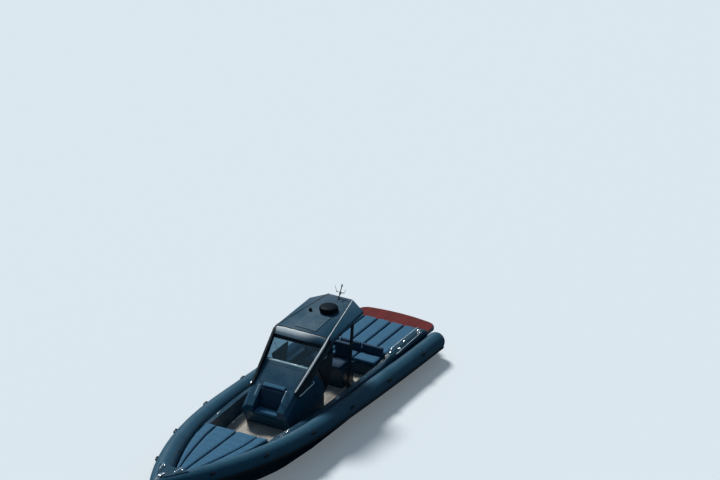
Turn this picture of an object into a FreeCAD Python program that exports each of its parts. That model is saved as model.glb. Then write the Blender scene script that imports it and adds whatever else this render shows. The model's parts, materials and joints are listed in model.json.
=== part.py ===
import FreeCAD, Part

import math
import os
import Sketcher
from FreeCAD import Vector, Rotation, Placement

os.makedirs("parts", exist_ok=True)

doc = FreeCAD.newDocument("RibBoat")

# Stations run forward from a point 600 aft of the transom, port is +Y,
# and heights are above the waterline.  Millimetres throughout.
sheet = doc.addObject("Spreadsheet::Sheet", "Dims")

# A size is a number, or a sum of products of sizes named above it.
DIMS = [
    # inflatable tubes
    ("tube_radius", 253), ("tube_axis_y", 1416), ("tube_aft_x", 470),
    ("tube_turn_x", 6260), ("tube_tip_x", 12247),
    ("fore_run", "tube_tip_x - tube_turn_x"), ("tube_aft_z", 460), ("tube_rise", 734),
    ("bond_gap", 0.3), ("seat_sink", 8), ("strake_thick", 34), ("strake_lean", 24), ("strake_half", 9.5),
    ("grip_length", 190), ("grip_width", 52), ("grip_stand", 40), ("grip_angle", 28),
    # rigid hull and deck
    ("transom_x", 600), ("keel_aft_z", -560), ("rail_step", 46), ("chine_flat", 70),
    ("deck_lap", 45), ("sole_z", 380), ("sole_thick", 12), ("floor_z", "sole_z + sole_thick"),
    ("cockpit_aft_x", "transom_x + 1850"), ("cockpit_turn_x", "tube_turn_x + 40"),
    ("cockpit_fore_x", "tube_turn_x + fore_run * 0.3474"), ("cockpit_half", "tube_axis_y - 376"),
    ("cockpit_fore_half", "tube_axis_y * 0.899 - 388"), ("sole_margin", 14),
    ("bay_aft_x", "transom_x + 100"), ("bay_fore_x", "cockpit_aft_x - 90"),
    ("bay_half", "cockpit_half - 140"), ("bay_floor_z", -100), ("hatch_half", "cockpit_half - 40"),
    ("hatch_aft_x", "transom_x + 40"), ("hatch_fore_x", "cockpit_aft_x - 14"),
    ("hatch_z", 690), ("hatch_thick", 60), ("hatch_gap", 6), ("coaming_z", 870),
    ("bow_deck_z", 1000), ("hinge_eye", 10), ("hinge_pin", 5), ("hinge_length", 140),
    ("hinge_spread", "hatch_half - 280"), ("hatch_hinge_x", "hatch_aft_x - 12"),
    # swim platform
    ("platform_half", "tube_axis_y - tube_radius + 5"), ("platform_aft_x", "transom_x - 840"),
    ("platform_fore_x", "transom_x - 100"), ("platform_top_z", 640), ("platform_thick", 70),
    ("platform_corner", 340), ("platform_round", 5000), ("plank_thick", 14), ("teak_inset", 30),
    ("shelf_half", "cockpit_half - 40"), ("knee_width", 40), ("knee_deep", 180), ("knee_inset", 240),
    # console
    ("console_aft_x", "tube_turn_x - 1110"), ("console_half", 700), ("dash_low_z", 1100),
    ("dash_run", 150), ("dash_rise", 200), ("base_x", "console_aft_x + 650"), ("base_z", 1790),
    ("base_ledge", 90), ("head_x", "console_aft_x + 1350"), ("head_z", 1415),
    ("nose_x", "console_aft_x + 1860"), ("nose_z", 1010), ("toe_x", "nose_x - 260"),
    ("flat_half_aft", "console_half - 45"), ("flat_half_head", "console_half - 95"),
    ("flat_half_nose", "console_half - 140"), ("bevel_drop", 130), ("nose_half", "console_half - 30"),
    ("recess_half", "console_half - 340"), ("recess_x", "head_x + 60"), ("recess_z", "nose_z - 220"),
    ("sill_z", "base_z - 25"), ("sill_aft_x", "console_aft_x - 510"), ("sill_thick", 46),
    ("sill_low_x", "console_aft_x - 330"),
    # screen, arches and hardtop
    ("roof_front_x", "base_x - 730"), ("roof_front_z", "base_z + 620"), ("roof_half", "console_half + 65"),
    ("roof_skirt", 95), ("roof_fall", 100),
    ("roof_rear_x", "roof_front_x - 2020"), ("roof_rear_z", "roof_front_z + 140"),
    ("roof_rear_half", "roof_half - 410"), ("roof_corner_x", "roof_rear_x + 230"),
    ("roof_corner_z", "roof_front_z + 5"), ("roof_thick", 80), ("screen_thick", 12),
    ("visor_length", 335), ("visor_thick", 60), ("arch_thick", 55), ("arch_foot_x", "head_x + 40"),
    ("strut_foot_x", "roof_rear_x + 690"), ("strut_head_x", "strut_foot_x - 240"), ("strut_deep", 130),
    ("strut_wide", 46), ("strut_half", "roof_half - 125"), ("sunroof_aft_x", "roof_rear_x + 1100"),
    ("sunroof_fore_x", "roof_front_x - 140"), ("sunroof_half", "roof_half - 435"), ("sunroof_thick", 16),
    # radar, aerial and mast
    ("radome_x", "roof_rear_x + 800"), ("radome_radius", 250), ("radome_height", 130),
    ("radome_y", 90), ("radome_stand", 20), ("puck_x", "roof_rear_x + 990"), ("puck_y", -350), ("puck_radius", 45),
    ("mast_x", "roof_rear_x + 150"), ("mast_length", 330),
    # deck furniture
    ("module_aft_x", "strut_foot_x - 380"), ("module_fore_x", "module_aft_x + 600"),
    ("module_half", "strut_half - 80"), ("module_top_z", "floor_z + 538"),
    ("bench_aft_x", "cockpit_aft_x + 12"), ("bench_fore_x", "bench_aft_x + 558"),
    ("bench_half", "cockpit_half - 30"), ("bench_top_z", "floor_z + 348"),
    ("cushion_thick", 100), ("pad_gap", 0.3), ("back_thick", 112), ("back_tall", 330),
    ("helm_seat_gap", 40), ("helm_seat_width", "module_half - 60"), ("helm_back_tall", 520),
    ("bow_pad_aft_x", "cockpit_fore_x + 20"), ("bow_pad_fore_x", "tube_turn_x + fore_run * 0.8167"),
    ("bow_pad_half", "cockpit_fore_half + 40"), ("bow_pad_thick", 90), ("bow_seam", 14), ("tube_room", 34),
    # anchor locker, bow cap and hand rails
    ("locker_aft_x", "bow_pad_fore_x + 55"), ("locker_fore_x", "locker_aft_x + 215"),
    ("locker_half_aft", 150), ("locker_half_fore", 80), ("locker_hinge_x", "locker_aft_x - 9"),
    ("locker_eye", 7), ("locker_pin", 3.5), ("locker_hinge_length", 120), ("locker_rim", 24),
    ("locker_deep", 230), ("lid_thick", 22),
    ("cap_aft_x", "tube_turn_x + fore_run * 0.8703"), ("cap_fore_x", "tube_tip_x - 77"),
    ("cap_reach", 60), ("cap_thick", 12),
    ("rail_radius", 14), ("rail_post_radius", 10), ("rail_y", "cockpit_half + 38"), ("rail_height", 90),
    ("rail_aft_x", "transom_x + 200"), ("rail_length", "cockpit_aft_x - transom_x - 330"),
    ("bow_rail_aft_x", "cap_aft_x + 20"), ("bow_rail_length", 360), ("bow_rail_aft_y", 262),
    ("bow_rail_fore_y", 212), ("bow_rail_radius", 11), ("bow_rail_stand", 46),
    ("roller_x", "tube_tip_x - 280"), ("roller_length", 250), ("roller_half", 38), ("roller_radius", 24),
    # engines and drives
    ("engine_aft_x", "bay_aft_x + 60"), ("engine_length", 1100), ("engine_width", 660),
    ("engine_height", 650), ("drive_y", 420), ("pivot_x", "transom_x - 150"),
    ("pivot_z", 60), ("gimbal_radius", 50), ("gimbal_tall", 120), ("pin_radius", 12), ("pin_gap", 0.05),
    ("ear_gap", 7), ("ear_thick", 20), ("ear_radius", 42), ("shield_thick", 40),
    ("prop_x", "pivot_x - 450"), ("prop_z", -650), ("prop_radius", 190), ("prop_hub_radius", 52),
    ("prop_hub_length", 118), ("prop_pitch", 470), ("shaft_radius", 15), ("leg_half", 50),
    ("torpedo_radius", 58),
    # helm
    ("wheel_radius", 178), ("wheel_y", -230), ("wheel_stand", 120), ("wheel_rim", 15),
    ("hub_radius", 38), ("hub_thick", 42), ("lever_y", 130),
    # eyes
    ("eye_radius", 14), ("eye_thick", 18), ("bow_eye_z", 560), ("stem_share", 0.8947),
    ("bow_eye_x", "tube_turn_x + fore_run * stem_share + 43.4"),
    ("stern_eye_y", "cockpit_half - 80"), ("stern_eye_z", 250),
]

for row, (name, number) in enumerate(DIMS, start=1):
    sheet.set("A%d" % row, name)
    sheet.setAlias("B%d" % row, name)
for row, (name, number) in enumerate(DIMS, start=1):
    sheet.set("B%d" % row, "=" + number if isinstance(number, str) else str(number))
doc.recompute()

SIZE = {}
NODES = []


def value(words):
    """Number for a size written as names and numbers joined by + - * and spaces."""
    if not isinstance(words, str):
        return float(words)
    total = 0.0
    sign = 1.0
    term = None
    for token in words.split():
        if token in ("+", "-"):
            if term is not None:
                total += sign * term
            sign = 1.0 if token == "+" else -1.0
            term = None
        elif token != "*":
            number = SIZE[token] if token in SIZE else float(token)
            term = number if term is None else term * number
    if term is not None:
        total += sign * term
    return total


for name, number in DIMS:
    SIZE[name] = value(number)


def bound(words):
    """The same size as an expression on the sheet."""
    if not isinstance(words, str):
        return str(float(words))
    text = " ".join("Dims." + token if token in SIZE else token for token in words.split())
    return "0 " + text if text.startswith("- ") else text


def keep(obj, node):
    obj.Label = node
    NODES.append((obj, node))
    return obj


def plane_of(body, role):
    for item in body.Origin.OriginFeatures:
        if item.Role == role:
            return item


def sketch_on(body, role, points, name):
    """Closed outline of straight sides, every corner held by two sizes."""
    sketch = body.newObject("Sketcher::SketchObject", name)
    sketch.AttachmentSupport = [(plane_of(body, role), "")]
    sketch.MapMode = "FlatFace"
    numbers = [(value(u), value(v)) for u, v in points]
    count = len(points)
    for i in range(count):
        a = numbers[i]
        b = numbers[(i + 1) % count]
        sketch.addGeometry(Part.LineSegment(Vector(a[0], a[1], 0), Vector(b[0], b[1], 0)), False)
    for i in range(count):
        sketch.addConstraint(Sketcher.Constraint("Coincident", i, 2, (i + 1) % count, 1))
    for i in range(count):
        for kind, axis in (("DistanceX", 0), ("DistanceY", 1)):
            index = sketch.addConstraint(
                Sketcher.Constraint(kind, -1, 1, i, 1, numbers[i][axis]))
            if isinstance(points[i][axis], str):
                sketch.setExpression("Constraints[%d]" % index, bound(points[i][axis]))
    return sketch


def pad_side(name, points, half=None, y0=None, width=None):
    """Side outline (station, height), across the middle or from y0 to port."""
    body = doc.addObject("PartDesign::Body", name)
    sketch = sketch_on(body, "XZ_Plane", points, name + "Outline")
    pad = body.newObject("PartDesign::Pad", name + "Pad")
    pad.Profile = sketch
    if half is not None:
        pad.Midplane = True
        pad.setExpression("Length", "2 * (%s)" % bound(half))
    else:
        sketch.setExpression("AttachmentOffset.Base.z", "0 - (%s)" % bound(y0))
        pad.Reversed = True
        pad.setExpression("Length", bound(width))
    return body


def pad_plan(name, points, z0, thick):
    """Plan outline (station, port) made solid upward from height z0."""
    body = doc.addObject("PartDesign::Body", name)
    sketch = sketch_on(body, "XY_Plane", points, name + "Outline")
    sketch.setExpression("AttachmentOffset.Base.z", bound(z0))
    pad = body.newObject("PartDesign::Pad", name + "Pad")
    pad.Profile = sketch
    pad.setExpression("Length", bound(thick))
    return body


def box(name, x0, x1, y0, y1, z0, z1):
    obj = doc.addObject("Part::Box", name)
    obj.setExpression("Length", "(%s) - (%s)" % (bound(x1), bound(x0)))
    obj.setExpression("Width", "(%s) - (%s)" % (bound(y1), bound(y0)))
    obj.setExpression("Height", "(%s) - (%s)" % (bound(z1), bound(z0)))
    obj.setExpression("Placement.Base.x", bound(x0))
    obj.setExpression("Placement.Base.y", bound(y0))
    obj.setExpression("Placement.Base.z", bound(z0))
    return obj


TURNS = {"z": Rotation(), "x": Rotation(Vector(0, 1, 0), 90), "y": Rotation(Vector(1, 0, 0), -90)}


def cylinder(name, axis, x, y, z, radius, length):
    obj = doc.addObject("Part::Cylinder", name)
    obj.Placement = Placement(Vector(0, 0, 0), TURNS[axis])
    obj.setExpression("Radius", bound(radius))
    obj.setExpression("Height", bound(length))
    obj.setExpression("Placement.Base.x", bound(x))
    obj.setExpression("Placement.Base.y", bound(y))
    obj.setExpression("Placement.Base.z", bound(z))
    return obj


def fuse(name, shapes):
    obj = doc.addObject("Part::MultiFuse", name)
    obj.Shapes = shapes
    obj.Refine = True
    return obj


def cut(name, base, tool):
    obj = doc.addObject("Part::Cut", name)
    obj.Base = base
    obj.Tool = tool
    return obj


def feature(name, shape, place=None):
    obj = doc.addObject("Part::Feature", name)
    obj.Shape = shape
    obj.Placement = place or Placement()
    return obj


def flat_solid(corners, faces):
    """Closed solid of flat faces; a four-sided face that isn't flat is split."""
    made = []
    for face in faces:
        ring = [Vector(*corners[i]) for i in face]
        normal = (ring[1] - ring[0]).cross(ring[2] - ring[0]).normalize()
        flat = all(abs((p - ring[0]).dot(normal)) < 1e-6 for p in ring)
        parts = [ring] if flat else [[ring[0], ring[1], ring[2]], [ring[0], ring[2], ring[3]]]
        for part in parts:
            made.append(Part.Face(Part.makePolygon(part + [part[0]])))
    shell = Part.makeShell(made)
    shell.sewShape()
    solid = Part.makeSolid(Part.Shell(shell.Faces))
    if solid.Volume < 0:
        solid.reverse()
    return solid


def slab(near, far):
    """Solid between two outlines with the same number of corners."""
    count = len(near)
    faces = [tuple(range(count)), tuple(range(2 * count - 1, count - 1, -1))]
    for i in range(count):
        j = (i + 1) % count
        faces.append((i, count + i, count + j, j))
    return flat_solid(list(near) + list(far), faces)


def hinge(name, x, y, z, length, knuckle, pin, leaf, base):
    """Butt hinge with its pin across the boat: fixed half and moving half."""
    fixed = []
    end = length + " * 0.25"
    for tag, at in (("A", y + " - " + length + " * 0.5"), ("B", y + " + " + end)):
        fixed.append(cylinder(name + "Eye" + tag, "y", x, at, z, knuckle, end))
        fixed.append(box(name + "Foot" + tag, x + " - " + knuckle, x + " + " + knuckle, at,
                         at + " + " + end, base, z))
    fixed.append(cylinder(name + "Pin", "y", x, y + " - " + length + " * 0.5", z, pin, length))
    moving = [cylinder(name + "EyeC", "y", x, y + " - " + end + " + 0.5", z, knuckle,
                       length + " * 0.5 - 1"),
              box(name + "Leaf", x, leaf, y + " - " + end + " + 0.5", y + " + " + end + " - 0.5",
                  z + " - " + knuckle + " * 0.5", z + " + " + knuckle + " * 0.6")]
    bore = cylinder(name + "Bore", "y", x, y + " - " + length, z, pin + " + pin_gap",
                    length + " * 2")
    return fixed, moving, bore


def mirrored(shape):
    return shape.mirror(Vector(0, 0, 0), Vector(0, 1, 0))


def both(shape):
    return Part.makeCompound([shape, mirrored(shape)])


# Tubes
def tube_y(x):
    start = SIZE["tube_turn_x"]
    if x <= start:
        return float(SIZE["tube_axis_y"])
    part = (x - start) / (SIZE["tube_tip_x"] - start)
    return SIZE["tube_axis_y"] * (1.0 - part ** 2.17)


def tube_z(x):
    return SIZE["tube_aft_z"] + SIZE["tube_rise"] * (x / SIZE["tube_tip_x"]) ** 1.8


def tube_slope(x):
    return math.atan2(tube_y(x - 40) - tube_y(x + 40), 80.0)


def fore(share):
    """Station forward of where the tubes turn in, as a share of the way to their tip."""
    return SIZE["tube_turn_x"] + share * SIZE["fore_run"]


def aft(share):
    """Station forward of the transom, as a share of the way to where the tubes turn in."""
    return SIZE["transom_x"] + share * (SIZE["tube_turn_x"] - SIZE["transom_x"])


TUBE_STATIONS = [SIZE["tube_aft_x"], aft(0.32), aft(0.636), aft(0.936)] + [
    fore(share) for share in (0.14, 0.307, 0.458, 0.591, 0.708, 0.808, 0.892, 0.952, 1.0)]


def run_path(points):
    """Straight runs joined by tangent arcs, as one wire."""
    edges = []
    start = points[0]
    for before, here, after in zip(points, points[1:], points[2:]):
        into = (here - before).normalize()
        out = (after - here).normalize()
        turn = math.acos(max(-1.0, min(1.0, into.dot(out))))
        if turn < 1e-4:
            continue
        reach = 0.45 * min((here - before).Length, (after - here).Length)
        bend = reach / math.tan(turn / 2)
        first = here - into * reach
        last = here + out * reach
        inner = (out - into).normalize()
        middle = here + inner * (bend / math.cos(turn / 2) - bend)
        edges.append(Part.LineSegment(start, first).toShape())
        edges.append(Part.Arc(first, middle, last).toShape())
        start = last
    edges.append(Part.LineSegment(start, points[-1]).toShape())
    return Part.Wire(edges)


def swept_round(points, radius):
    path = run_path(points)
    ring = Part.Wire(Part.makeCircle(radius, points[0], points[1] - points[0]))
    return path.makePipeShell([ring], True, False)


def tube_points(out=0.0, up=0.0):
    points = []
    for x in TUBE_STATIONS:
        slope = tube_slope(x)
        points.append(Vector(x + out * math.sin(slope), tube_y(x) + out * math.cos(slope),
                             tube_z(x) + up))
    return points


radius = float(SIZE["tube_radius"])
axis = tube_points()


def tube_form(extra):
    """Tube with its round tail and nose, grown by extra."""
    ends = [Part.makeSphere(radius + extra, axis[0]), Part.makeSphere(radius + extra, axis[-1])]
    return swept_round(axis, radius + extra).fuse(ends)


port_half = Part.makeBox(16000, 4000, 6000, Vector(-1000, 0, -2000))
tube_port = tube_form(0.0).common(port_half).removeSplitter()
bed = tube_form(SIZE["bond_gap"])
beds = both(bed)
keep(feature("TubePort", tube_port), "tube_port")
keep(feature("TubeStarboard", mirrored(tube_port)), "tube_starboard")

# Rubbing strake: a band on the tube's own path, so that it lies on the tube all along
way = (axis[1] - axis[0]).normalize()
level = Vector(0, 0, 1).cross(way).normalize()
lean = math.radians(-SIZE["strake_lean"])
wide = math.radians(SIZE["strake_half"])


def on_tube(angle, reach):
    return axis[0] + (level * math.cos(angle) + way.cross(level) * math.sin(angle)) * reach


near = radius + SIZE["bond_gap"]
out = near + SIZE["strake_thick"]
edge = [on_tube(lean - wide, near), on_tube(lean - 0.62 * wide, out), on_tube(lean + 0.62 * wide, out),
        on_tube(lean + wide, near)]
band = Part.Wire([
    Part.Arc(edge[0], on_tube(lean, near), edge[3]).toShape(), Part.LineSegment(edge[3], edge[2]).toShape(),
    Part.Arc(edge[2], on_tube(lean, out), edge[1]).toShape(), Part.LineSegment(edge[1], edge[0]).toShape()])
strake = run_path(axis).makePipeShell([band], True, False)
keep(feature("StrakePort", strake), "strake_port")
keep(feature("StrakeStarboard", mirrored(strake)), "strake_starboard")

# Carrying grips on the shoulders of the tubes, at these stations each side.
GRIP_STATIONS = [aft(0.16), aft(0.49), aft(0.835), fore(0.165), fore(0.483), fore(0.775)]
grips = []
for x in GRIP_STATIONS:
    slope = tube_slope(x)
    high = math.radians(SIZE["grip_angle"])
    outward = (Vector(math.sin(slope), math.cos(slope), 0) * math.cos(high)
               + Vector(0, 0, math.sin(high)))
    along = Vector(math.cos(slope), -math.sin(slope), 0)
    long, wide, tall = SIZE["grip_length"], SIZE["grip_width"], SIZE["grip_stand"]
    outline = [Vector(-long / 2, 0, radius - 14), Vector(-long / 2, 0, radius + 0.3 * tall),
               Vector(-0.32 * long, 0, radius + tall), Vector(0.32 * long, 0, radius + tall),
               Vector(long / 2, 0, radius + 0.3 * tall), Vector(long / 2, 0, radius - 14)]
    grip = Part.Face(Part.makePolygon(outline + outline[:1])).extrude(Vector(0, wide, 0))
    grip.translate(Vector(0, -wide / 2, 0))
    hole = Part.makeBox(0.56 * long, 2 * wide, 0.5 * tall, Vector(-0.28 * long, -wide, radius + 4))
    grip = grip.cut(hole)
    grip.Placement = Placement(Vector(x, tube_y(x), tube_z(x)),
                               Rotation(along, Vector(0, 0, 0), outward, "XZY"))
    grip = grip.cut(bed)
    grips += [grip, mirrored(grip)]
keep(feature("TubeGrips", Part.makeCompound(grips)), "tube_handles")

# Hull
# station, keel height, chine half-breadth over the tubes', chine height
HULL_ROWS = [
    (aft(0), -560, 0.784, -125), (aft(0.424), -560, 0.791, -125), (aft(0.813), -560, 0.791, -120),
    (fore(0.057), -556, 0.773, -95), (fore(0.257), -535, 0.706, -25), (fore(0.424), -470, 0.6, 65),
    (fore(0.575), -345, 0.47, 170), (fore(0.708), -140, 0.314, 310), (fore(0.808), 130, 0.185, 465),
    (fore(0.884), 480, 0.074, 690), (fore(0.935), 860, 0.0155, 930),
]


def seat(x, sink):
    """Where the hull's edge meets the tube: half-breadth and height."""
    slope = math.cos(tube_slope(x))
    room = radius - sink
    y = max(tube_y(x) - 0.766 * room / slope, 28.0)
    off = (tube_y(x) - y) * slope
    return y, tube_z(x) - math.sqrt(max(room ** 2 - off ** 2, 0.0))


def ring(points):
    corners = [Vector(*p) for p in points]
    return Part.makePolygon(corners + [corners[0]])


def hull_half(x, keel, chine_y, chine_z):
    """Half of one frame from keel to tube, with two spray rails and a chine flat."""
    edge_y, edge_z = seat(x, SIZE["seat_sink"])
    tight = min(1.0, chine_y / 900.0)
    step = SIZE["rail_step"] * tight
    half = [(0.0, keel)]
    for share in (0.36, 0.68):
        y0 = chine_y * share
        z0 = keel + (chine_z - keel) * share
        z1 = keel + (chine_z - keel) * (y0 + step) / chine_y
        half += [(y0, z0), (y0 + step, z0), (y0 + step + 0.5, z1)]
    half += [(chine_y, chine_z), (chine_y + SIZE["chine_flat"] * tight, chine_z - 8 * tight),
             (edge_y, edge_z)]
    return half


sections = []
for x, keel, share, chine_z in HULL_ROWS:
    half = hull_half(x, keel, share * SIZE["tube_axis_y"], chine_z)
    port = [(x, y, z) for y, z in half]
    starboard = [(x, -y, z) for y, z in half[:0:-1]]
    sections.append(ring(port + starboard))
hull_form = Part.makeLoft(sections, True, True)

# station, height of the deck's top, its lap over the tube, radius of its shoulder
DECK_ROWS = [
    (SIZE["transom_x"], SIZE["coaming_z"] - 60, 85, 100),
    (SIZE["transom_x"] + 160, SIZE["coaming_z"], 85, 110),
    (SIZE["cockpit_aft_x"], SIZE["coaming_z"], 85, 110),
    (SIZE["cockpit_aft_x"] + 450, 760, 40, 60), (SIZE["console_aft_x"] - 150, 790, 20, 40),
    (fore(0.057), 840, 0, 30), (fore(0.341), 925, 0, 30), (fore(0.524), 945, 0, 30),
    (fore(0.691), 975, 0, 30), (SIZE["bow_pad_fore_x"], SIZE["bow_deck_z"], 0, 30),
    (SIZE["cap_aft_x"], SIZE["bow_deck_z"], 0, 30),
]


def deck_ring(x, top, lap, bend):
    """Frame of the deck moulding, its shoulders round and lapped over the tubes."""
    foot = tube_y(x) - (radius - SIZE["seat_sink"]) / math.cos(tube_slope(x))
    low = seat(x, SIZE["seat_sink"])[1] - SIZE["deck_lap"]
    side = foot + lap
    port = [Vector(x, foot, low), Vector(x, side, top - bend),
            Vector(x, side - bend * (1 - math.sqrt(0.5)), top - bend * (1 - math.sqrt(0.5))),
            Vector(x, side - bend, top)]
    starboard = [Vector(x, -v.y, v.z) for v in port]
    return Part.Wire([
        Part.LineSegment(port[0], port[1]).toShape(), Part.Arc(port[1], port[2], port[3]).toShape(),
        Part.LineSegment(port[3], starboard[3]).toShape(),
        Part.Arc(starboard[3], starboard[2], starboard[1]).toShape(),
        Part.LineSegment(starboard[1], starboard[0]).toShape(),
        Part.LineSegment(starboard[0], port[0]).toShape()])


deck_form = Part.makeLoft([deck_ring(*row) for row in DECK_ROWS], True, True)

cockpit = pad_plan("CockpitSpace", [
    ("cockpit_aft_x", "- cockpit_half"), ("cockpit_turn_x", "- cockpit_half"),
    ("cockpit_fore_x", "- cockpit_fore_half"), ("cockpit_fore_x", "cockpit_fore_half"),
    ("cockpit_turn_x", "cockpit_half"), ("cockpit_aft_x", "cockpit_half")], "sole_z", 1200)
bay = box("EngineSpace", "bay_aft_x", "bay_fore_x", "- bay_half", "bay_half", "bay_floor_z", 1500)
well = box("HatchSpace", "transom_x - 20", "cockpit_aft_x + 10", "- hatch_half - hatch_gap",
           "hatch_half + hatch_gap", "hatch_z", 1500)
locker = pad_plan("LockerSpace", [
    ("locker_aft_x + locker_rim", "- locker_half_aft + locker_rim"),
    ("locker_fore_x - locker_rim", "- locker_half_fore + locker_rim * 0.5"),
    ("locker_fore_x - locker_rim", "locker_half_fore - locker_rim * 0.5"),
    ("locker_aft_x + locker_rim", "locker_half_aft - locker_rim")],
    "bow_deck_z - locker_deep", "locker_deep + 100")
doc.recompute()

hatch_hinges = []
for k, place in enumerate(("- hinge_spread", "0", "hinge_spread")):
    hatch_hinges.append(hinge("HatchHinge%d" % k, "hatch_hinge_x", place, "hatch_z + hinge_eye + pad_gap",
                              "hinge_length", "hinge_eye", "hinge_pin", "hatch_aft_x + 6", "hatch_z - 5"))
locker_hinge = hinge("LockerHinge", "locker_hinge_x", "0", "bow_deck_z + locker_eye + pad_gap",
                     "locker_hinge_length", "locker_eye", "locker_pin", "locker_aft_x + 4",
                     "bow_deck_z - 5")
doc.recompute()

# The hull stops at the sole, and the moulding above it is in sections that butt together.
above_sole = Part.makeBox(SIZE["cockpit_fore_x"] + 2000, 6000, 4000, Vector(-2000, -3000, SIZE["sole_z"]))
below_sole = Part.makeBox(SIZE["cockpit_fore_x"] + 2000, 6000, 4000,
                          Vector(-2000, -3000, SIZE["sole_z"] - 4000))
lower = hull_form.fuse(deck_form.common(below_sole)).cut(above_sole)
hull_bedded = feature("HullForm", lower.cut(beds))
spaces = fuse("Spaces", [cockpit, bay, well, locker])
keep(cut("Hull", hull_bedded, spaces), "hull")
topsides = hull_form.common(above_sole)
deck_bedded = feature("DeckForm", deck_form.fuse(topsides).cut(lower).cut(beds))
deck_spaces = fuse("DeckSpaces", [cockpit, bay, well, locker])
deck_cut = cut("DeckShell", deck_bedded, deck_spaces)
doc.recompute()
joints = [-2000, SIZE["cockpit_aft_x"], SIZE["cockpit_turn_x"], SIZE["cockpit_fore_x"], 20000]
deck_sections = []
for k, (x0, x1) in enumerate(zip(joints, joints[1:])):
    ends = Part.makeBox(x1 - x0 - SIZE["bond_gap"], 6000, 6000, Vector(x0 + SIZE["bond_gap"], -3000, -2000))
    deck_sections.append([piece for piece in deck_cut.Shape.common(ends).Solids if piece.Volume > 1e5])
stern_shell = feature("SternShell", Part.makeCompound(deck_sections[0]))
bow_shell = feature("BowShell", Part.makeCompound(deck_sections[3]))
hatch_eyes = [piece for fixed, moving, bore in hatch_hinges for piece in fixed]
keep(fuse("SternDeck", [stern_shell] + hatch_eyes), "stern_deck")
keep(fuse("BowDeck", [bow_shell] + locker_hinge[0]), "bow_deck")
keep(feature("SideDecks", Part.makeCompound(deck_sections[1] + deck_sections[2])), "side_decks")

keep(pad_plan("SoleTeak", [
    ("cockpit_aft_x + sole_margin", "- cockpit_half + sole_margin"),
    ("cockpit_turn_x", "- cockpit_half + sole_margin"),
    ("cockpit_fore_x - sole_margin", "- cockpit_fore_half + sole_margin"),
    ("cockpit_fore_x - sole_margin", "cockpit_fore_half - sole_margin"),
    ("cockpit_turn_x", "cockpit_half - sole_margin"),
    ("cockpit_aft_x + sole_margin", "cockpit_half - sole_margin")], "sole_z", "sole_thick"),
    "sole_teak")
floor = "floor_z"


# Swim platform
def rounded_plan(name, inset, z0, thick):
    """Platform outline with a bowed aft edge and round corners."""
    body = doc.addObject("PartDesign::Body", name)
    sketch = body.newObject("Sketcher::SketchObject", name + "Outline")
    sketch.AttachmentSupport = [(plane_of(body, "XY_Plane"), "")]
    sketch.MapMode = "FlatFace"
    sketch.setExpression("AttachmentOffset.Base.z", bound(z0))
    half = SIZE["platform_half"] - inset
    fore_edge = SIZE["platform_fore_x"]
    aft_edge = SIZE["platform_aft_x"] + inset
    round_aft = SIZE["platform_round"] - inset
    bend = SIZE["platform_corner"] - inset
    bow_middle = Vector(aft_edge + round_aft, 0, 0)
    bend_y = half - bend
    bend_x = bow_middle.x - math.sqrt((round_aft - bend) ** 2 - bend_y ** 2)
    bend_middle = Vector(bend_x, bend_y, 0)
    outward = (bend_middle - bow_middle).normalize()
    halfway = (outward + Vector(0, 1, 0)).normalize()
    port = [bow_middle + outward * round_aft, bend_middle + halfway * bend, Vector(bend_x, half, 0),
            Vector(fore_edge, half, 0)]
    starboard = [Vector(v.x, -v.y, 0) for v in port]
    sketch.addGeometry(Part.Arc(starboard[0], Vector(aft_edge, 0, 0), port[0]), False)
    sketch.addGeometry(Part.Arc(port[0], port[1], port[2]), False)
    sketch.addGeometry(Part.LineSegment(port[2], port[3]), False)
    sketch.addGeometry(Part.LineSegment(port[3], starboard[3]), False)
    sketch.addGeometry(Part.LineSegment(starboard[3], starboard[2]), False)
    sketch.addGeometry(Part.Arc(starboard[2], starboard[1], starboard[0]), False)
    pad = body.newObject("PartDesign::Pad", name + "Pad")
    pad.Profile = sketch
    pad.setExpression("Length", bound(thick))
    return body


under = "platform_top_z - platform_thick"
platform = rounded_plan("SwimPlatform", 0, under, "platform_thick")
shelf = box("PlatformShelf", "platform_fore_x - 10", "transom_x", "- shelf_half", "shelf_half", under,
            "platform_top_z")
knees = []
for place in ("- 790", "- 180", "140", "750"):
    knees.append(pad_side("PlatformKnee%d" % len(knees), [
        ("platform_aft_x + knee_inset", under), ("transom_x", under + " - knee_deep"),
        ("transom_x", under)], y0=place, width="knee_width"))
keep(fuse("SwimPlatformWhole", [platform, shelf] + knees), "swim_platform")
keep(rounded_plan("PlatformTeak", SIZE["teak_inset"], "platform_top_z", "plank_thick"), "platform_teak")

# Console: one wedge with bevelled shoulders, a seat let into its front
# station, top height, half-breadth of the top, of the side, shoulder height
base_x, base_z = SIZE["base_x"], SIZE["base_z"]
low = value(floor)
dash_foot = SIZE["console_aft_x"]
side = SIZE["console_half"]
drop = SIZE["bevel_drop"]
dash_x = dash_foot + SIZE["dash_run"]
dash_z = SIZE["dash_low_z"] + SIZE["dash_rise"]
CONSOLE_ROWS = [
    (dash_foot, SIZE["dash_low_z"], side - 20, side, SIZE["dash_low_z"] - 30),
    (dash_x, dash_z, SIZE["flat_half_aft"], side, dash_z - 60),
    (base_x - 60, base_z, SIZE["flat_half_aft"], side, base_z - drop),
    (base_x - 60 + SIZE["base_ledge"], base_z, SIZE["flat_half_aft"], side, base_z - drop),
    (SIZE["head_x"], SIZE["head_z"], SIZE["flat_half_head"], side, SIZE["head_z"] - drop),
    (SIZE["nose_x"], SIZE["nose_z"], SIZE["flat_half_nose"], SIZE["nose_half"],
     SIZE["nose_z"] - drop),
]
sections = []
for x, top, flat, wide, shoulder in CONSOLE_ROWS:
    sections.append(ring([(x, -wide, low), (x, -wide, shoulder), (x, -flat, top), (x, flat, top),
                          (x, wide, shoulder), (x, wide, low)]))
console_form = feature("ConsoleForm", Part.makeLoft(sections, True, True))
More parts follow.
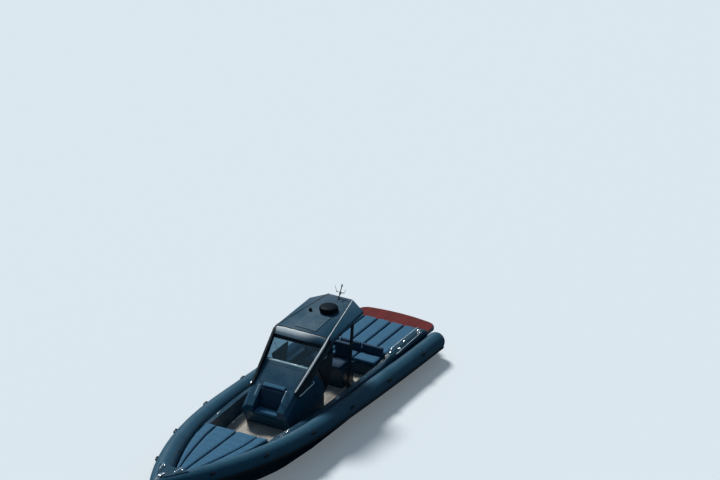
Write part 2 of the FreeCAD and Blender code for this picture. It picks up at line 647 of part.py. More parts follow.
recess = pad_side("SeatRecess", [
    ("recess_x", "recess_z"), ("head_x", "head_z"), ("head_x", "head_z + 400"),
    ("nose_x + 200", "head_z + 400"), ("nose_x + 200", "recess_z")], half="recess_half")
toe = pad_side("ConsoleToe", [
    ("toe_x", "sole_z"), ("nose_x + 2", "nose_z - bevel_drop - 40"), ("nose_x + 200", "nose_z"),
    ("nose_x + 200", "sole_z")], half="console_half + 100")
keep(cut("Console", console_form, fuse("ConsoleSpaces", [recess, toe])), "console")

sills = []
for tag, y0 in (("Port", "console_half - sill_thick - 4"), ("Starboard", "- console_half + 4")):
    sills.append(pad_side("Sill" + tag, [
        ("console_aft_x", floor + " + 420"), ("sill_low_x", floor + " + 640"), ("sill_aft_x", "sill_z"),
        ("console_aft_x + 330", "sill_z"), ("console_aft_x", "dash_low_z + 40")],
        y0=y0, width="sill_thick"))
keep(fuse("ConsoleSills", sills), "console_sides")

keep(pad_side("FrontSeatBase", [
    ("recess_x + 108", "recess_z + pad_gap"), ("recess_x + 108", "recess_z + cushion_thick"),
    ("nose_x - 50", "recess_z + cushion_thick - 10"), ("nose_x - 50", "recess_z + pad_gap")],
    half="recess_half - 6"), "front_seat_cushion")
keep(pad_side("FrontSeatBack", [
    ("recess_x + pad_gap", "recess_z + 8"), ("head_x + pad_gap", "head_z"),
    ("head_x + pad_gap", "head_z + 14"), ("head_x + 60", "head_z + 22"),
    ("head_x + 108", "head_z - 40"), ("recess_x + 104", "recess_z + cushion_thick + 60"),
    ("recess_x + 104", "recess_z + 8")], half="recess_half - 6"), "front_seat_back")

# Screen, visor, arches and hardtop
pitch_x = base_x - 60 + SIZE["base_ledge"] * 0.5 - SIZE["roof_front_x"]
pitch_z = SIZE["roof_front_z"] - base_z
pitch = math.hypot(pitch_x, pitch_z)
along_x, along_z = pitch_x / pitch, -pitch_z / pitch
out_x, out_z = -along_z, along_x


def on_slope(run, lift, y):
    return (SIZE["roof_front_x"] + along_x * run + out_x * lift, y,
            SIZE["roof_front_z"] + along_z * run + out_z * lift)


def arch_y(x, outer):
    """Half-breadth of an arch's inner or outer face at a station."""
    share = (x - SIZE["roof_front_x"]) / (SIZE["arch_foot_x"] - SIZE["roof_front_x"])
    if outer:
        top, foot = SIZE["roof_half"] + SIZE["roof_skirt"], SIZE["console_half"] + 10
    else:
        top, foot = SIZE["roof_half"], SIZE["flat_half_head"]
    return top + (foot - top) * share


def sloping(from_run, to_run, low_lift, high_lift, gap):
    near, far = [], []
    for run, lift in ((from_run, low_lift), (from_run, high_lift), (to_run, high_lift), (to_run, low_lift)):
        x, _, z = on_slope(run, lift, 0)
        half = arch_y(x, False) - gap
        near.append((x, -half, z))
        far.append((x, half, z))
    return slab(near, far)


visor_end = SIZE["visor_length"]
front_face = SIZE["roof_thick"]
screen = sloping(visor_end + SIZE["bond_gap"], pitch + 40, -40, -40 + SIZE["screen_thick"],
                 SIZE["bond_gap"])
visor = sloping(0, visor_end, -SIZE["visor_thick"], 0, 0.3)

# corners of an arch: station, height of its inner edge, drop of its outer edge
foot_x = SIZE["arch_foot_x"]
foot_z = SIZE["head_z"] + 10
ARCH_ROWS = [
    (SIZE["roof_front_x"] + 4, SIZE["roof_front_z"] - 4, SIZE["roof_fall"]), (foot_x, foot_z, 120),
    (foot_x - 60, foot_z - 150, 30), (base_x + 60, SIZE["sill_z"] - 170, 0),
    (base_x - 170, SIZE["sill_z"] - 2, 0), (SIZE["roof_front_x"] - 70, SIZE["roof_front_z"] - 118, SIZE["roof_fall"] - 20),
]
near = [(x, arch_y(x, False), z) for x, z, fall in ARCH_ROWS]
far = [(x, arch_y(x, True), z - fall) for x, z, fall in ARCH_ROWS]
arch = slab(near, far)


def roof_solid(drop, thick):
    """Hardtop slab: a flat top between two creases, and a lower skirt outboard of each."""
    front_x, front_z, rear_x, rear_z = (SIZE["roof_" + name] for name in ("front_x", "front_z", "rear_x", "rear_z"))
    crease, rear_half = SIZE["roof_half"], SIZE["roof_rear_half"]
    skirt = crease + SIZE["roof_skirt"]
    corners = []
    for lift in (-drop, -drop - thick):
        for rows in (((front_x, crease, front_z), (front_x, -crease, front_z), (rear_x, -rear_half, rear_z),
                      (rear_x, rear_half, rear_z)),
                     ((front_x - 10, skirt, front_z - SIZE["roof_fall"]),
                      (SIZE["roof_corner_x"], skirt - 50, SIZE["roof_corner_z"]),
                      (SIZE["roof_corner_x"], 50 - skirt, SIZE["roof_corner_z"]),
                      (front_x - 10, -skirt, front_z - SIZE["roof_fall"]))):
            corners += [(x, y, z + lift) for x, y, z in rows]
    outline = [0, 1, 7, 6, 2, 3, 5, 4]
    sides = [(a, a + 8, b + 8, b) for a, b in zip(outline, outline[1:] + outline[:1])]
    return flat_solid(corners, [(0, 1, 2, 3), (0, 3, 5, 4), (1, 7, 6, 2),
                                (8, 11, 10, 9), (8, 12, 13, 11), (9, 10, 14, 15)] + sides)


roof = roof_solid(0, SIZE["roof_thick"])
keep(feature("Hardtop", roof), "hardtop")
keep(feature("ScreenVisor", visor.cut(roof)), "screen_visor")
doc.recompute()
console_shape = doc.getObject("Console").Shape
keep(feature("Windscreen", max(screen.cut(console_shape).Solids, key=lambda s: s.Volume)), "windscreen")
arch = arch.cut(Part.makeCompound([roof, console_shape] + [s.Shape for s in sills]))
arch = max(arch.Solids, key=lambda s: s.Volume)
keep(feature("SideArches", both(arch)), "side_arches")

sunroof = roof_solid(-SIZE["sunroof_thick"], SIZE["sunroof_thick"])
hole = Part.makeBox(SIZE["sunroof_fore_x"] - SIZE["sunroof_aft_x"], 2 * SIZE["sunroof_half"], 800,
                    Vector(SIZE["sunroof_aft_x"], -SIZE["sunroof_half"], SIZE["roof_front_z"] - 200))
keep(feature("Sunroof", sunroof.common(hole)), "sunroof_panel")

strut_solids = []
for tag, y0 in (("Port", "strut_half"), ("Starboard", "- strut_half - strut_wide")):
    strut_solids.append(pad_side("Strut" + tag, [
        ("strut_foot_x", floor), ("strut_foot_x + strut_deep", floor),
        ("strut_head_x + strut_deep * 0.8", "roof_rear_z + 40"), ("strut_head_x", "roof_rear_z + 40")],
        y0=y0, width="strut_wide"))
doc.recompute()
above = roof_solid(-400, 400 + SIZE["roof_thick"])
struts = [s.Shape.cut(above) for s in strut_solids]
keep(feature("RearStruts", Part.makeCompound(struts)), "rear_struts")


# Radar, aerial and mast, their feet shaped to the roof
def roof_top(x):
    run = (SIZE["roof_front_x"] - x) / (SIZE["roof_front_x"] - SIZE["roof_rear_x"])
    return SIZE["roof_front_z"] + run * (SIZE["roof_rear_z"] - SIZE["roof_front_z"])


dome_r = float(SIZE["radome_radius"])
tall = float(SIZE["radome_height"])
profile = [Vector(0, 0, 0), Vector(dome_r * 0.86, 0, 0), Vector(dome_r, 0, tall * 0.3),
           Vector(dome_r * 0.97, 0, tall * 0.62), Vector(dome_r * 0.78, 0, tall * 0.92), Vector(0, 0, tall)]
dome = Part.Face(Part.makePolygon(profile + profile[:1])).revolve(Vector(0, 0, 0), Vector(0, 0, 1), 360)
dome.translate(Vector(SIZE["radome_x"], SIZE["radome_y"], roof_top(SIZE["radome_x"]) + SIZE["radome_stand"]))
foot = Part.makeCylinder(120, SIZE["radome_stand"] + 60,
                         Vector(SIZE["radome_x"], SIZE["radome_y"], roof_top(SIZE["radome_x"]) - 60))
keep(feature("Radome", dome.fuse(foot).cut(roof)), "radome")
puck = Part.makeCylinder(SIZE["puck_radius"], 100,
                         Vector(SIZE["puck_x"], SIZE["puck_y"], roof_top(SIZE["puck_x"]) - 40))
keep(feature("AerialPuck", puck.cut(roof)), "aerial_puck")
lean = math.radians(32)
foot_at = Vector(SIZE["mast_x"], 0, roof_top(SIZE["mast_x"]) - 30)
mast_way = Vector(-math.sin(lean), 0, math.cos(lean))
head = foot_at + mast_way * (SIZE["mast_length"] + 30)
pole = Part.makeCylinder(15, SIZE["mast_length"] + 30, foot_at, mast_way)
lamp = Part.makeCylinder(26, 62, head, mast_way)
bar_at = foot_at + mast_way * (SIZE["mast_length"] * 0.62)
bar = Part.makeCylinder(9, 230, bar_at - Vector(0, 115, 0), Vector(0, 1, 0))
horn = Part.makeCone(16, 34, 150, bar_at + Vector(-20, 70, -18), Vector(1, 0, 0))
keep(feature("LightMast", pole.fuse([lamp, bar, horn]).cut(roof)), "light_mast")

# Helm
dash_length = math.hypot(SIZE["dash_run"], SIZE["dash_rise"])
dash_out = Vector(-SIZE["dash_rise"] / dash_length, 0, SIZE["dash_run"] / dash_length)
dash_up = Vector(SIZE["dash_run"] / dash_length, 0, SIZE["dash_rise"] / dash_length)
dash_mid = Vector(dash_foot, 0, SIZE["dash_low_z"]) + dash_up * (dash_length / 2)
dash_turn = Rotation(dash_up, Vector(0, 0, 0), dash_out, "XZY")


def on_dash(shape, y):
    """Set a shape made on its own floor on the sloping dash, at breadth y."""
    shape.Placement = Placement(dash_mid + Vector(0, y, 0), dash_turn)
    return shape


panel = on_dash(Part.makeBox(dash_length - 30, 1000, 10, Vector(-(dash_length - 30) / 2, -500, 0)), 0)
column = Part.makeCone(44, 30, SIZE["wheel_stand"] - 34)
pin = Part.makeCylinder(SIZE["pin_radius"], SIZE["wheel_stand"] + 2)
column = on_dash(column.fuse(pin), SIZE["wheel_y"])
keep(feature("DashPanel", panel.fuse(column)), "dash_panel")

rim = Part.makeTorus(SIZE["wheel_radius"], SIZE["wheel_rim"])
boss = Part.makeCylinder(SIZE["hub_radius"], SIZE["hub_thick"], Vector(0, 0, -SIZE["hub_thick"] / 2))
spokes = [Part.makeCylinder(9, SIZE["wheel_radius"], Vector(0, 0, 0), Vector(math.cos(a), math.sin(a), 0))
          for a in (math.radians(60), math.radians(180), math.radians(300))]
bore = Part.makeCylinder(SIZE["pin_radius"] + SIZE["pin_gap"], 36, Vector(0, 0, -30))
wheel = rim.fuse([boss] + spokes).cut(bore)
wheel_mid = dash_mid + Vector(0, SIZE["wheel_y"], 0) + dash_out * SIZE["wheel_stand"]
keep(feature("SteeringWheel", wheel, Placement(wheel_mid, dash_turn)), "steering_wheel")
lever_base = Part.makeBox(110, 90, 26, Vector(-55, -45, 10))
levers = [Part.makeCylinder(8, 120, Vector(0, y, 30), Vector(0.35, 0, 1)) for y in (-20, 20)]
knobs = [Part.makeSphere(17, Vector(0.33 * 120, y, 30 + 0.94 * 120)) for y in (-20, 20)]
keep(feature("ThrottleLevers", lever_base.fuse(levers + knobs),
             Placement(dash_mid + Vector(0, SIZE["lever_y"], 0), dash_turn)), "throttle_levers")

keep(box("HelmModule", "module_aft_x", "module_fore_x", "- module_half", "module_half", floor,
         "module_top_z"), "helm_module")
seats = []
for tag, y in (("Port", "helm_seat_gap * 0.5"), ("Starboard", "- helm_seat_gap * 0.5 - helm_seat_width")):
    seats.append(pad_side("HelmSeat" + tag, [
        ("module_aft_x + back_thick + 12", "module_top_z + pad_gap"),
        ("module_fore_x + 60", "module_top_z + pad_gap"),
        ("module_fore_x + 80", "module_top_z + cushion_thick"),
        ("module_aft_x + back_thick + 12", "module_top_z + cushion_thick + 10")],
        y0=y, width="helm_seat_width"))
    seats.append(pad_side("HelmBack" + tag, [
        ("module_aft_x + 10", "module_top_z + pad_gap"),
        ("module_aft_x + back_thick", "module_top_z + pad_gap"),
        ("module_aft_x + back_thick - 30", "module_top_z + helm_back_tall"),
        ("module_aft_x - 60", "module_top_z + helm_back_tall")],
        y0=y, width="helm_seat_width"))
doc.recompute()
keep(feature("HelmSeats", Part.makeCompound([s.Shape for s in seats])), "helm_seats")

# Rear bench, engine hatch and sunpad
keep(box("RearBench", "bench_aft_x", "bench_fore_x", "- bench_half", "bench_half", floor,
         "bench_top_z"), "rear_bench")
keep(box("RearBenchCushion", "bench_aft_x + back_thick + 10", "bench_fore_x + 10", "- bench_half + 10",
         "bench_half - 10", "bench_top_z + pad_gap", "bench_top_z + cushion_thick"), "rear_bench_cushion")
keep(box("RearBackrest", "bench_aft_x", "bench_aft_x + back_thick", "- bench_half + 10",
         "bench_half - 10", "bench_top_z + pad_gap", "bench_top_z + back_tall"), "rear_backrest")
lid = box("HatchLid", "hatch_aft_x", "hatch_fore_x", "- hatch_half", "hatch_half",
          "hatch_z + pad_gap", "hatch_z + hatch_thick")
leaves = [piece for fixed, moving, bore in hatch_hinges for piece in moving]
bores = [bore for fixed, moving, bore in hatch_hinges]
keep(cut("EngineHatch", fuse("HatchWhole", [lid] + leaves), fuse("HatchBores", bores)), "engine_hatch")
keep(box("AftSunpad", "hatch_aft_x + 4", "hatch_fore_x - 4", "- hatch_half + 4", "hatch_half - 4",
         "hatch_z + hatch_thick + pad_gap", "hatch_z + hatch_thick + cushion_thick"), "aft_sunpad")
for tag, low_y in (("Port", "drive_y - engine_width * 0.5"), ("Starboard", "- drive_y - engine_width * 0.5")):
    keep(box("Engine" + tag, "engine_aft_x", "engine_aft_x + engine_length", low_y,
             low_y + " + engine_width", "bay_floor_z", "bay_floor_z + engine_height"),
         "engine_" + tag.lower())

# Bow pads
PAD_STATIONS = [SIZE["bow_pad_aft_x"], fore(0.524), fore(0.61), fore(0.691), fore(0.758),
                SIZE["bow_pad_fore_x"]]


def deck_top(x):
    for (x0, z0, *_), (x1, z1, *_) in zip(DECK_ROWS, DECK_ROWS[1:]):
        if x0 <= x <= x1:
            return z0 + (z1 - z0) * (x - x0) / float(x1 - x0)


sections = []
seam = SIZE["bow_seam"] / 2.0
for x in PAD_STATIONS:
    slope = math.cos(tube_slope(x))
    edge = min(tube_y(x) - (radius + SIZE["tube_room"]) / slope, SIZE["bow_pad_half"])
    low = deck_top(x) + SIZE["pad_gap"]
    high = low + SIZE["bow_pad_thick"]
    sections.append(ring([(x, seam, low), (x, edge, low), (x, edge, high), (x, seam, high)]))
bow_pad = Part.makeLoft(sections, True, True)
keep(feature("BowPadPort", bow_pad), "bow_pad_port")
keep(feature("BowPadStarboard", mirrored(bow_pad)), "bow_pad_starboard")

locker_lid = pad_plan("LockerLid", [
    ("locker_aft_x", "- locker_half_aft"), ("locker_fore_x", "- locker_half_fore"),
    ("locker_fore_x", "locker_half_fore"), ("locker_aft_x", "locker_half_aft")],
    "bow_deck_z + pad_gap", "lid_thick")
keep(cut("AnchorHatch", fuse("LockerLidWhole", [locker_lid] + locker_hinge[1]), locker_hinge[2]),
     "anchor_hatch")

# Hand rails
bar = Part.makeCylinder(SIZE["rail_radius"], SIZE["rail_length"],
                        Vector(SIZE["rail_aft_x"], SIZE["rail_y"], SIZE["coaming_z"] + SIZE["rail_height"]),
                        Vector(1, 0, 0))
posts = []
for share in (0.04, 0.5, 0.96):
    posts.append(Part.makeCylinder(
        SIZE["rail_post_radius"], SIZE["rail_height"],
        Vector(SIZE["rail_aft_x"] + share * SIZE["rail_length"], SIZE["rail_y"], SIZE["coaming_z"]),
        Vector(0, 0, 1)))
keep(feature("AftRails", both(bar.fuse(posts))), "aft_rails")

sections = []
for x in (SIZE["cap_aft_x"], (SIZE["cap_aft_x"] + SIZE["cap_fore_x"]) / 2, SIZE["cap_fore_x"]):
    half = tube_y(x) + SIZE["cap_reach"]
    top = tube_z(x) + radius + SIZE["cap_thick"]
    sections.append(ring([(x, -half, tube_z(x)), (x, -half, top), (x, half, top), (x, half, tube_z(x))]))
cap = Part.makeLoft(sections, True, True).cut(beds)
cap = max(cap.Solids, key=lambda s: s.Volume)
keep(feature("BowCap", cap), "bow_cap")


def cap_top(x):
    rows = (SIZE["cap_aft_x"], (SIZE["cap_aft_x"] + SIZE["cap_fore_x"]) / 2, SIZE["cap_fore_x"])
    for x0, x1 in zip(rows, rows[1:]):
        if x0 <= x <= x1:
            share = (x - x0) / (x1 - x0)
            return tube_z(x0) + (tube_z(x1) - tube_z(x0)) * share + radius + SIZE["cap_thick"]


# Room under the cap's fittings, so that they stand on it
tops = [(x, cap_top(x) + SIZE["bond_gap"]) for x in (
    SIZE["cap_aft_x"], (SIZE["cap_aft_x"] + SIZE["cap_fore_x"]) / 2, SIZE["cap_fore_x"])]
steep = (tops[2][1] - tops[1][1]) / (tops[2][0] - tops[1][0])
tops.append((tops[2][0] + 300, tops[2][1] + 300 * steep))
line = tops + [(tops[3][0], tops[0][1] - 300), (tops[0][0], tops[0][1] - 300)]
under_cap = Part.Face(Part.makePolygon([Vector(a, -600, b) for a, b in line + line[:1]]))
under_cap = under_cap.extrude(Vector(0, 1200, 0))

ends = []
for x, y in ((SIZE["bow_rail_aft_x"], SIZE["bow_rail_aft_y"]),
             (SIZE["bow_rail_aft_x"] + SIZE["bow_rail_length"], SIZE["bow_rail_fore_y"])):
    ends.append(Vector(x, y, cap_top(x) + SIZE["bow_rail_stand"]))
rail = Part.makeCylinder(SIZE["bow_rail_radius"], (ends[1] - ends[0]).Length, ends[0], ends[1] - ends[0])
posts = []
for share in (0.1, 0.9):
    p = ends[0] + (ends[1] - ends[0]) * share
    posts.append(Part.makeCylinder(9, SIZE["bow_rail_stand"] + 30, p - Vector(0, 0, SIZE["bow_rail_stand"] + 30),
                                   Vector(0, 0, 1)))
keep(feature("BowRails", both(max(rail.fuse(posts).cut(under_cap).Solids, key=lambda s: s.Volume))), "bow_rails")
roll_x = SIZE["roller_x"]
roll_z = cap_top(roll_x) - 20
cheek = [(roll_x, roll_z), (roll_x + SIZE["roller_length"], roll_z + 30),
         (roll_x + SIZE["roller_length"] + 20, roll_z + 76), (roll_x + SIZE["roller_length"] - 60, roll_z + 84),
         (roll_x, roll_z + 44)]
cheek = Part.Face(Part.makePolygon([Vector(a, -SIZE["roller_half"], b) for a, b in cheek + cheek[:1]]))
cheek = cheek.extrude(Vector(0, 2 * SIZE["roller_half"], 0))
groove = Part.makeBox(400, 2 * SIZE["roller_half"] - 12, 300, Vector(roll_x - 50, 6 - SIZE["roller_half"], roll_z + 34))
wheel = Part.makeCylinder(SIZE["roller_radius"], 2 * SIZE["roller_half"] - 8,
                          Vector(roll_x + SIZE["roller_length"] - 26, 4 - SIZE["roller_half"], roll_z + 52),
                          Vector(0, 1, 0))
roller = cheek.cut(groove).fuse(wheel).cut(under_cap).cut(beds)
keep(feature("BowRoller", max(roller.Solids, key=lambda s: s.Volume)), "bow_roller")


# Stern drives
def blade(hand):
    """One blade standing up the Z axis: radius, chord, thickness and rake by row."""
    rows = [(30, 92, 15, 0), (80, 118, 13, 6), (135, 128, 9, 16), (176, 92, 6, 26), (190, 40, 4, 32)]
    rings = []
    for r, chord, thick, rake in rows:
        r = r * SIZE["prop_radius"] / 190.0
        angle = math.atan2(SIZE["prop_pitch"], 2 * math.pi * max(r, 40))
        way = Vector(math.sin(angle), hand * math.cos(angle), 0)
        flat = Vector(math.cos(angle), -hand * math.sin(angle), 0)
        mid = Vector(-rake, 0, r)
        rings.append(ring([mid - way * (chord / 2), mid + flat * (thick / 2) - way * (chord * 0.1),
                           mid + way * (chord / 2), mid - flat * (thick / 2) - way * (chord * 0.1)]))
    return Part.makeLoft(rings, True, True)


for tag, hand in (("Port", 1), ("Starboard", -1)):
    y = "drive_y" if hand > 0 else "- drive_y"
    plate = box("Shield%s" % tag, "transom_x - shield_thick", "transom_x", y + " - 130", y + " + 130",
                "pivot_z - 230", "pivot_z + 150")
    ledge = []
    for name, z0 in (("Top", "pivot_z + gimbal_tall * 0.5 + ear_gap"),
                     ("Low", "pivot_z - gimbal_tall * 0.5 - ear_gap - 22")):
        ledge.append(box("Shield%s%s" % (name, tag), "pivot_x - 32", "transom_x - shield_thick + 10",
                         y + " - 34", y + " + 34", z0, z0 + " + 22"))
    socket = cylinder("SteerBore%s" % tag, "z", "pivot_x", y, "pivot_z - 200", "pin_radius + pin_gap", 400)
    keep(cut("TransomShield" + tag, fuse("ShieldSolid" + tag, [plate] + ledge), socket),
         "transom_shield_" + tag.lower())

    drum = cylinder("GimbalDrum%s" % tag, "z", "pivot_x", y, "pivot_z - gimbal_tall * 0.5",
                    "gimbal_radius", "gimbal_tall")
    stub = cylinder("TrimPin%s" % tag, "y", "pivot_x", y + " - gimbal_radius - ear_gap - ear_thick",
                    "pivot_z", "pin_radius", "gimbal_radius * 2 + ear_gap * 2 + ear_thick * 2")
    post = cylinder("SteerPin%s" % tag, "z", "pivot_x", y, "pivot_z - gimbal_tall * 0.5 - ear_gap - 18",
                    "pin_radius", "gimbal_tall + ear_gap * 2 + 36")
    keep(fuse("Gimbal" + tag, [drum, stub, post]), "gimbal_" + tag.lower())

    mid = SIZE["drive_y"] * hand
    px, pz = SIZE["pivot_x"], SIZE["pivot_z"]
    thin = SIZE["leg_half"]
    prop_z = SIZE["prop_z"]
    leg_line = [(px - 100, pz), (px - 125, pz + 40), (px - 250, pz + 60), (px - 330, pz + 10),
                (px - 300, prop_z + 270), (px - 330, prop_z + 220), (px - 330, prop_z + 30),
                (px - 130, prop_z + 30), (px - 115, prop_z + 230), (px - 95, pz - 150)]
    leg = Part.Face(Part.makePolygon([Vector(a, mid - thin, b) for a, b in leg_line + leg_line[:1]]))
    leg = leg.extrude(Vector(0, 2 * thin, 0))
    upright = [e for e in leg.Edges if abs(e.Vertexes[0].Point.y - e.Vertexes[-1].Point.y) > 1]
    ears = []
    near = SIZE["gimbal_radius"] + SIZE["ear_gap"]
    ear_r = SIZE["ear_radius"]
    for ear_side in (-1, 1):
        y0 = mid + near if ear_side > 0 else mid - near - SIZE["ear_thick"]
        ears.append(Part.makeCylinder(ear_r, SIZE["ear_thick"], Vector(px, y0, pz), Vector(0, 1, 0)))
        ears.append(Part.makeBox(150, SIZE["ear_thick"], 2 * ear_r, Vector(px - 150, y0, pz - ear_r)))
        web = near + SIZE["ear_thick"] - thin + 4
        y1 = mid + thin - 4 if ear_side > 0 else mid - thin + 4 - web
        ears.append(Part.makeBox(50, web, 2 * ear_r, Vector(px - 150, y1, pz - ear_r)))
    torpedo = Part.makeCylinder(SIZE["torpedo_radius"], 300, Vector(px - 380, mid, prop_z), Vector(1, 0, 0))
    beak = Part.makeCone(SIZE["torpedo_radius"], 14, 120, Vector(px - 80, mid, prop_z), Vector(1, 0, 0))
    plate = Part.makeBox(390, 220, 14, Vector(px - 435, mid - 110, prop_z + 244))
    skeg_line = [(px - 340, prop_z - 40), (px - 290, prop_z - 200), (px - 200, prop_z - 215), (px - 120, prop_z - 40)]
    skeg = Part.Face(Part.makePolygon([Vector(a, mid - 9, b) for a, b in skeg_line + skeg_line[:1]]))
    skeg = skeg.extrude(Vector(0, 18, 0))
    hub_half = SIZE["prop_hub_length"] / 2.0
    shaft = Part.makeCylinder(SIZE["shaft_radius"], 160, Vector(px - 450 - hub_half - 14, mid, prop_z), Vector(1, 0, 0))
    nut = Part.makeCylinder(SIZE["shaft_radius"] + 9, 16, Vector(px - 472 - hub_half, mid, prop_z),
                            Vector(1, 0, 0))
    whole = leg.fuse(ears + [torpedo, beak, plate, skeg, shaft, nut])
    hole = Part.makeCylinder(SIZE["pin_radius"] + SIZE["pin_gap"], 400, Vector(px, mid - 200, pz),
                             Vector(0, 1, 0))
    keep(feature("DriveLeg" + tag, whole.cut(hole).removeSplitter()), "drive_leg_" + tag.lower())

    hub = Part.makeCylinder(SIZE["prop_hub_radius"], SIZE["prop_hub_length"], Vector(-hub_half, 0, 0),
                            Vector(1, 0, 0))
    blades = []
    for k in range(4):
        one = blade(hand)
        one.rotate(Vector(0, 0, 0), Vector(1, 0, 0), 90.0 * k + 45.0)
        blades.append(one)
    bore = Part.makeCylinder(SIZE["shaft_radius"] + SIZE["pin_gap"], 400, Vector(-200, 0, 0),
                             Vector(1, 0, 0))
    keep(feature("Propeller" + tag, hub.fuse(blades).cut(bore),
                 Placement(Vector(SIZE["prop_x"], mid, prop_z), Rotation())), "propeller_" + tag.lower())

# Lifting and towing eyes: upright on the stem, level on the transom
thick = SIZE["eye_thick"]
r_eye = SIZE["eye_radius"]
plate = Part.makeBox(150, thick, 90, Vector(SIZE["bow_eye_x"] - 110, -thick / 2.0, SIZE["bow_eye_z"] - 45))
bore = Part.makeCylinder(r_eye, 4 * thick, Vector(SIZE["bow_eye_x"], -2 * thick, SIZE["bow_eye_z"]),
                         Vector(0, 1, 0))
keep(feature("BowEye", plate.cut(bore).cut(hull_form)), "bow_eye")
eye_x = SIZE["transom_x"] - 40
plate = Part.makeBox(80, 80, thick, Vector(SIZE["transom_x"] - 80, SIZE["stern_eye_y"] - 40,
                                           SIZE["stern_eye_z"] - thick / 2.0))
bore = Part.makeCylinder(r_eye, 4 * thick, Vector(eye_x, SIZE["stern_eye_y"], SIZE["stern_eye_z"] - 2 * thick),
                         Vector(0, 0, 1))
keep(feature("SternEyes", both(plate.cut(bore))), "stern_eyes")

# Output
doc.recompute()
bad = []
for obj in doc.Objects:
    if "Invalid" in obj.State or "Error" in obj.State:
        bad.append("%s %s" % (obj.Name, obj.State))
labels = set()
for obj, node in NODES:
    shape = obj.Shape
    if shape.isNull() or not shape.isValid() or shape.Volume <= 0:
        bad.append("%s has no valid shape" % node)
    if node in labels:
        bad.append("%s is named twice" % node)
    labels.add(node)
if bad:
    raise RuntimeError("; ".join(bad))
for obj, node in NODES:
    obj.Shape.exportStep("parts/%s.step" % node)
    bounds = obj.Shape.BoundBox
    print("%-22s solids %d vol %.4f  x %.0f..%.0f y %.0f..%.0f z %.0f..%.0f" % (
        node, len(obj.Shape.Solids), obj.Shape.Volume / 1e9, bounds.XMin, bounds.XMax, bounds.YMin,
        bounds.YMax, bounds.ZMin, bounds.ZMax))
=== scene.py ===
"""Looks of the long inflatable boat with its hardtop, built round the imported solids.

Metres: X runs forward, Y to port, Z up from the waterline.
"""

import json
import math

import bmesh
import bpy
from mathutils import Matrix, Vector
from mathutils.bvhtree import BVHTree


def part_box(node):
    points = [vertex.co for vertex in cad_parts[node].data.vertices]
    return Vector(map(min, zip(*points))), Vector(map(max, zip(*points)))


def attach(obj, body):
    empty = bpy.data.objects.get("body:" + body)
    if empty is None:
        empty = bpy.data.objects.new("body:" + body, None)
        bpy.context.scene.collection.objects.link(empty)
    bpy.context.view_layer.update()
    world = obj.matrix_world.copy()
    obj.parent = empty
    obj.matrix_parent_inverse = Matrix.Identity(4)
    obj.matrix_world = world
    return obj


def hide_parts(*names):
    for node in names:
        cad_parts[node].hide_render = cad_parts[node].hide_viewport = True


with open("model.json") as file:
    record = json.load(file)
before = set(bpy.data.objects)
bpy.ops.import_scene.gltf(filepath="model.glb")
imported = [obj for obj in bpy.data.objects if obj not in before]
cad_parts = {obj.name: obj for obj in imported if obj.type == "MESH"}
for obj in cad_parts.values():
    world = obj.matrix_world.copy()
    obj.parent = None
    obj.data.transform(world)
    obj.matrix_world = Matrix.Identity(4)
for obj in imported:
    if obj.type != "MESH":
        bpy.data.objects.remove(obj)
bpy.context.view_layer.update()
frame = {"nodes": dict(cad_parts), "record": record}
scene = bpy.context.scene
home = {node: body for body, nodes in frame["record"]["behaviour"]["bodies"].items() for node in nodes}
slot_of = {row["node"]: row["material_slot"] for row in frame["record"]["subparts"]}

SIDES = (("port", 1), ("starboard", -1))
FORWARD, ABEAM, UP = Vector((1, 0, 0)), Vector((0, 1, 0)), Vector((0, 0, 1))

# Long lens, far off the port bow: point aimed at, turn round it, height, distance and tilt
AIM = Vector((-4.77074509, -3.82774250, 0.0))
AROUND, ABOVE, AWAY, TILT = math.radians(119.28950604), math.radians(25.69686909), 159.62884455, 0.34746730
FOCAL_LENGTH, SENSOR_WIDTH = 288.8455, 36


def photo_camera():
    """Camera at the photograph's place."""
    back = Vector((math.sin(AROUND) * math.cos(ABOVE), -math.cos(AROUND) * math.cos(ABOVE), math.sin(ABOVE)))
    right = (-back).cross(UP).normalized()
    up = right.cross(-back)
    c, s = math.cos(math.radians(TILT)), math.sin(math.radians(TILT))
    right, up = right * c + up * s, up * c - right * s
    camera = bpy.data.objects.new("photo_camera", bpy.data.cameras.new("photo_camera"))
    camera.matrix_world = Matrix((right, up, back)).transposed().to_4x4()
    camera.location = AIM + back * AWAY
    camera.data.lens = FOCAL_LENGTH
    camera.data.sensor_width = SENSOR_WIDTH
    camera.data.clip_start, camera.data.clip_end = 1, 3000
    scene.collection.objects.link(camera)
    scene.camera = camera


photo_camera()

# Wiring of materials


def put(tree, kind, wires=(), **settings):
    """A node with its settings, and its inputs wired to sockets or set to values."""
    node = tree.nodes.new(kind)
    for key, value in settings.items():
        setattr(node, key, value)
    for key, source in dict(wires).items():
        if isinstance(source, bpy.types.NodeSocket):
            tree.links.new(source, node.inputs[key])
        else:
            node.inputs[key].default_value = source
    return node


def sums(tree, operation, a, b=0.0, c=0.0):
    """Arithmetic on sockets or numbers."""
    return put(tree, "ShaderNodeMath", {0: a, 1: b, 2: c}, operation=operation).outputs[0]


def between(tree, value, low, high, to_low=0.0, to_high=1.0):
    """Smooth step from one value to another as a mask goes from low to high."""
    return put(tree, "ShaderNodeMapRange", {"Value": value, "From Min": low, "From Max": high,
                                            "To Min": to_low, "To Max": to_high},
               interpolation_type="SMOOTHSTEP").outputs["Result"]


def blended(tree, share, first, second):
    """Mix of two colours."""
    return put(tree, "ShaderNodeMix", {0: share, 6: first, 7: second}, data_type="RGBA").outputs[2]


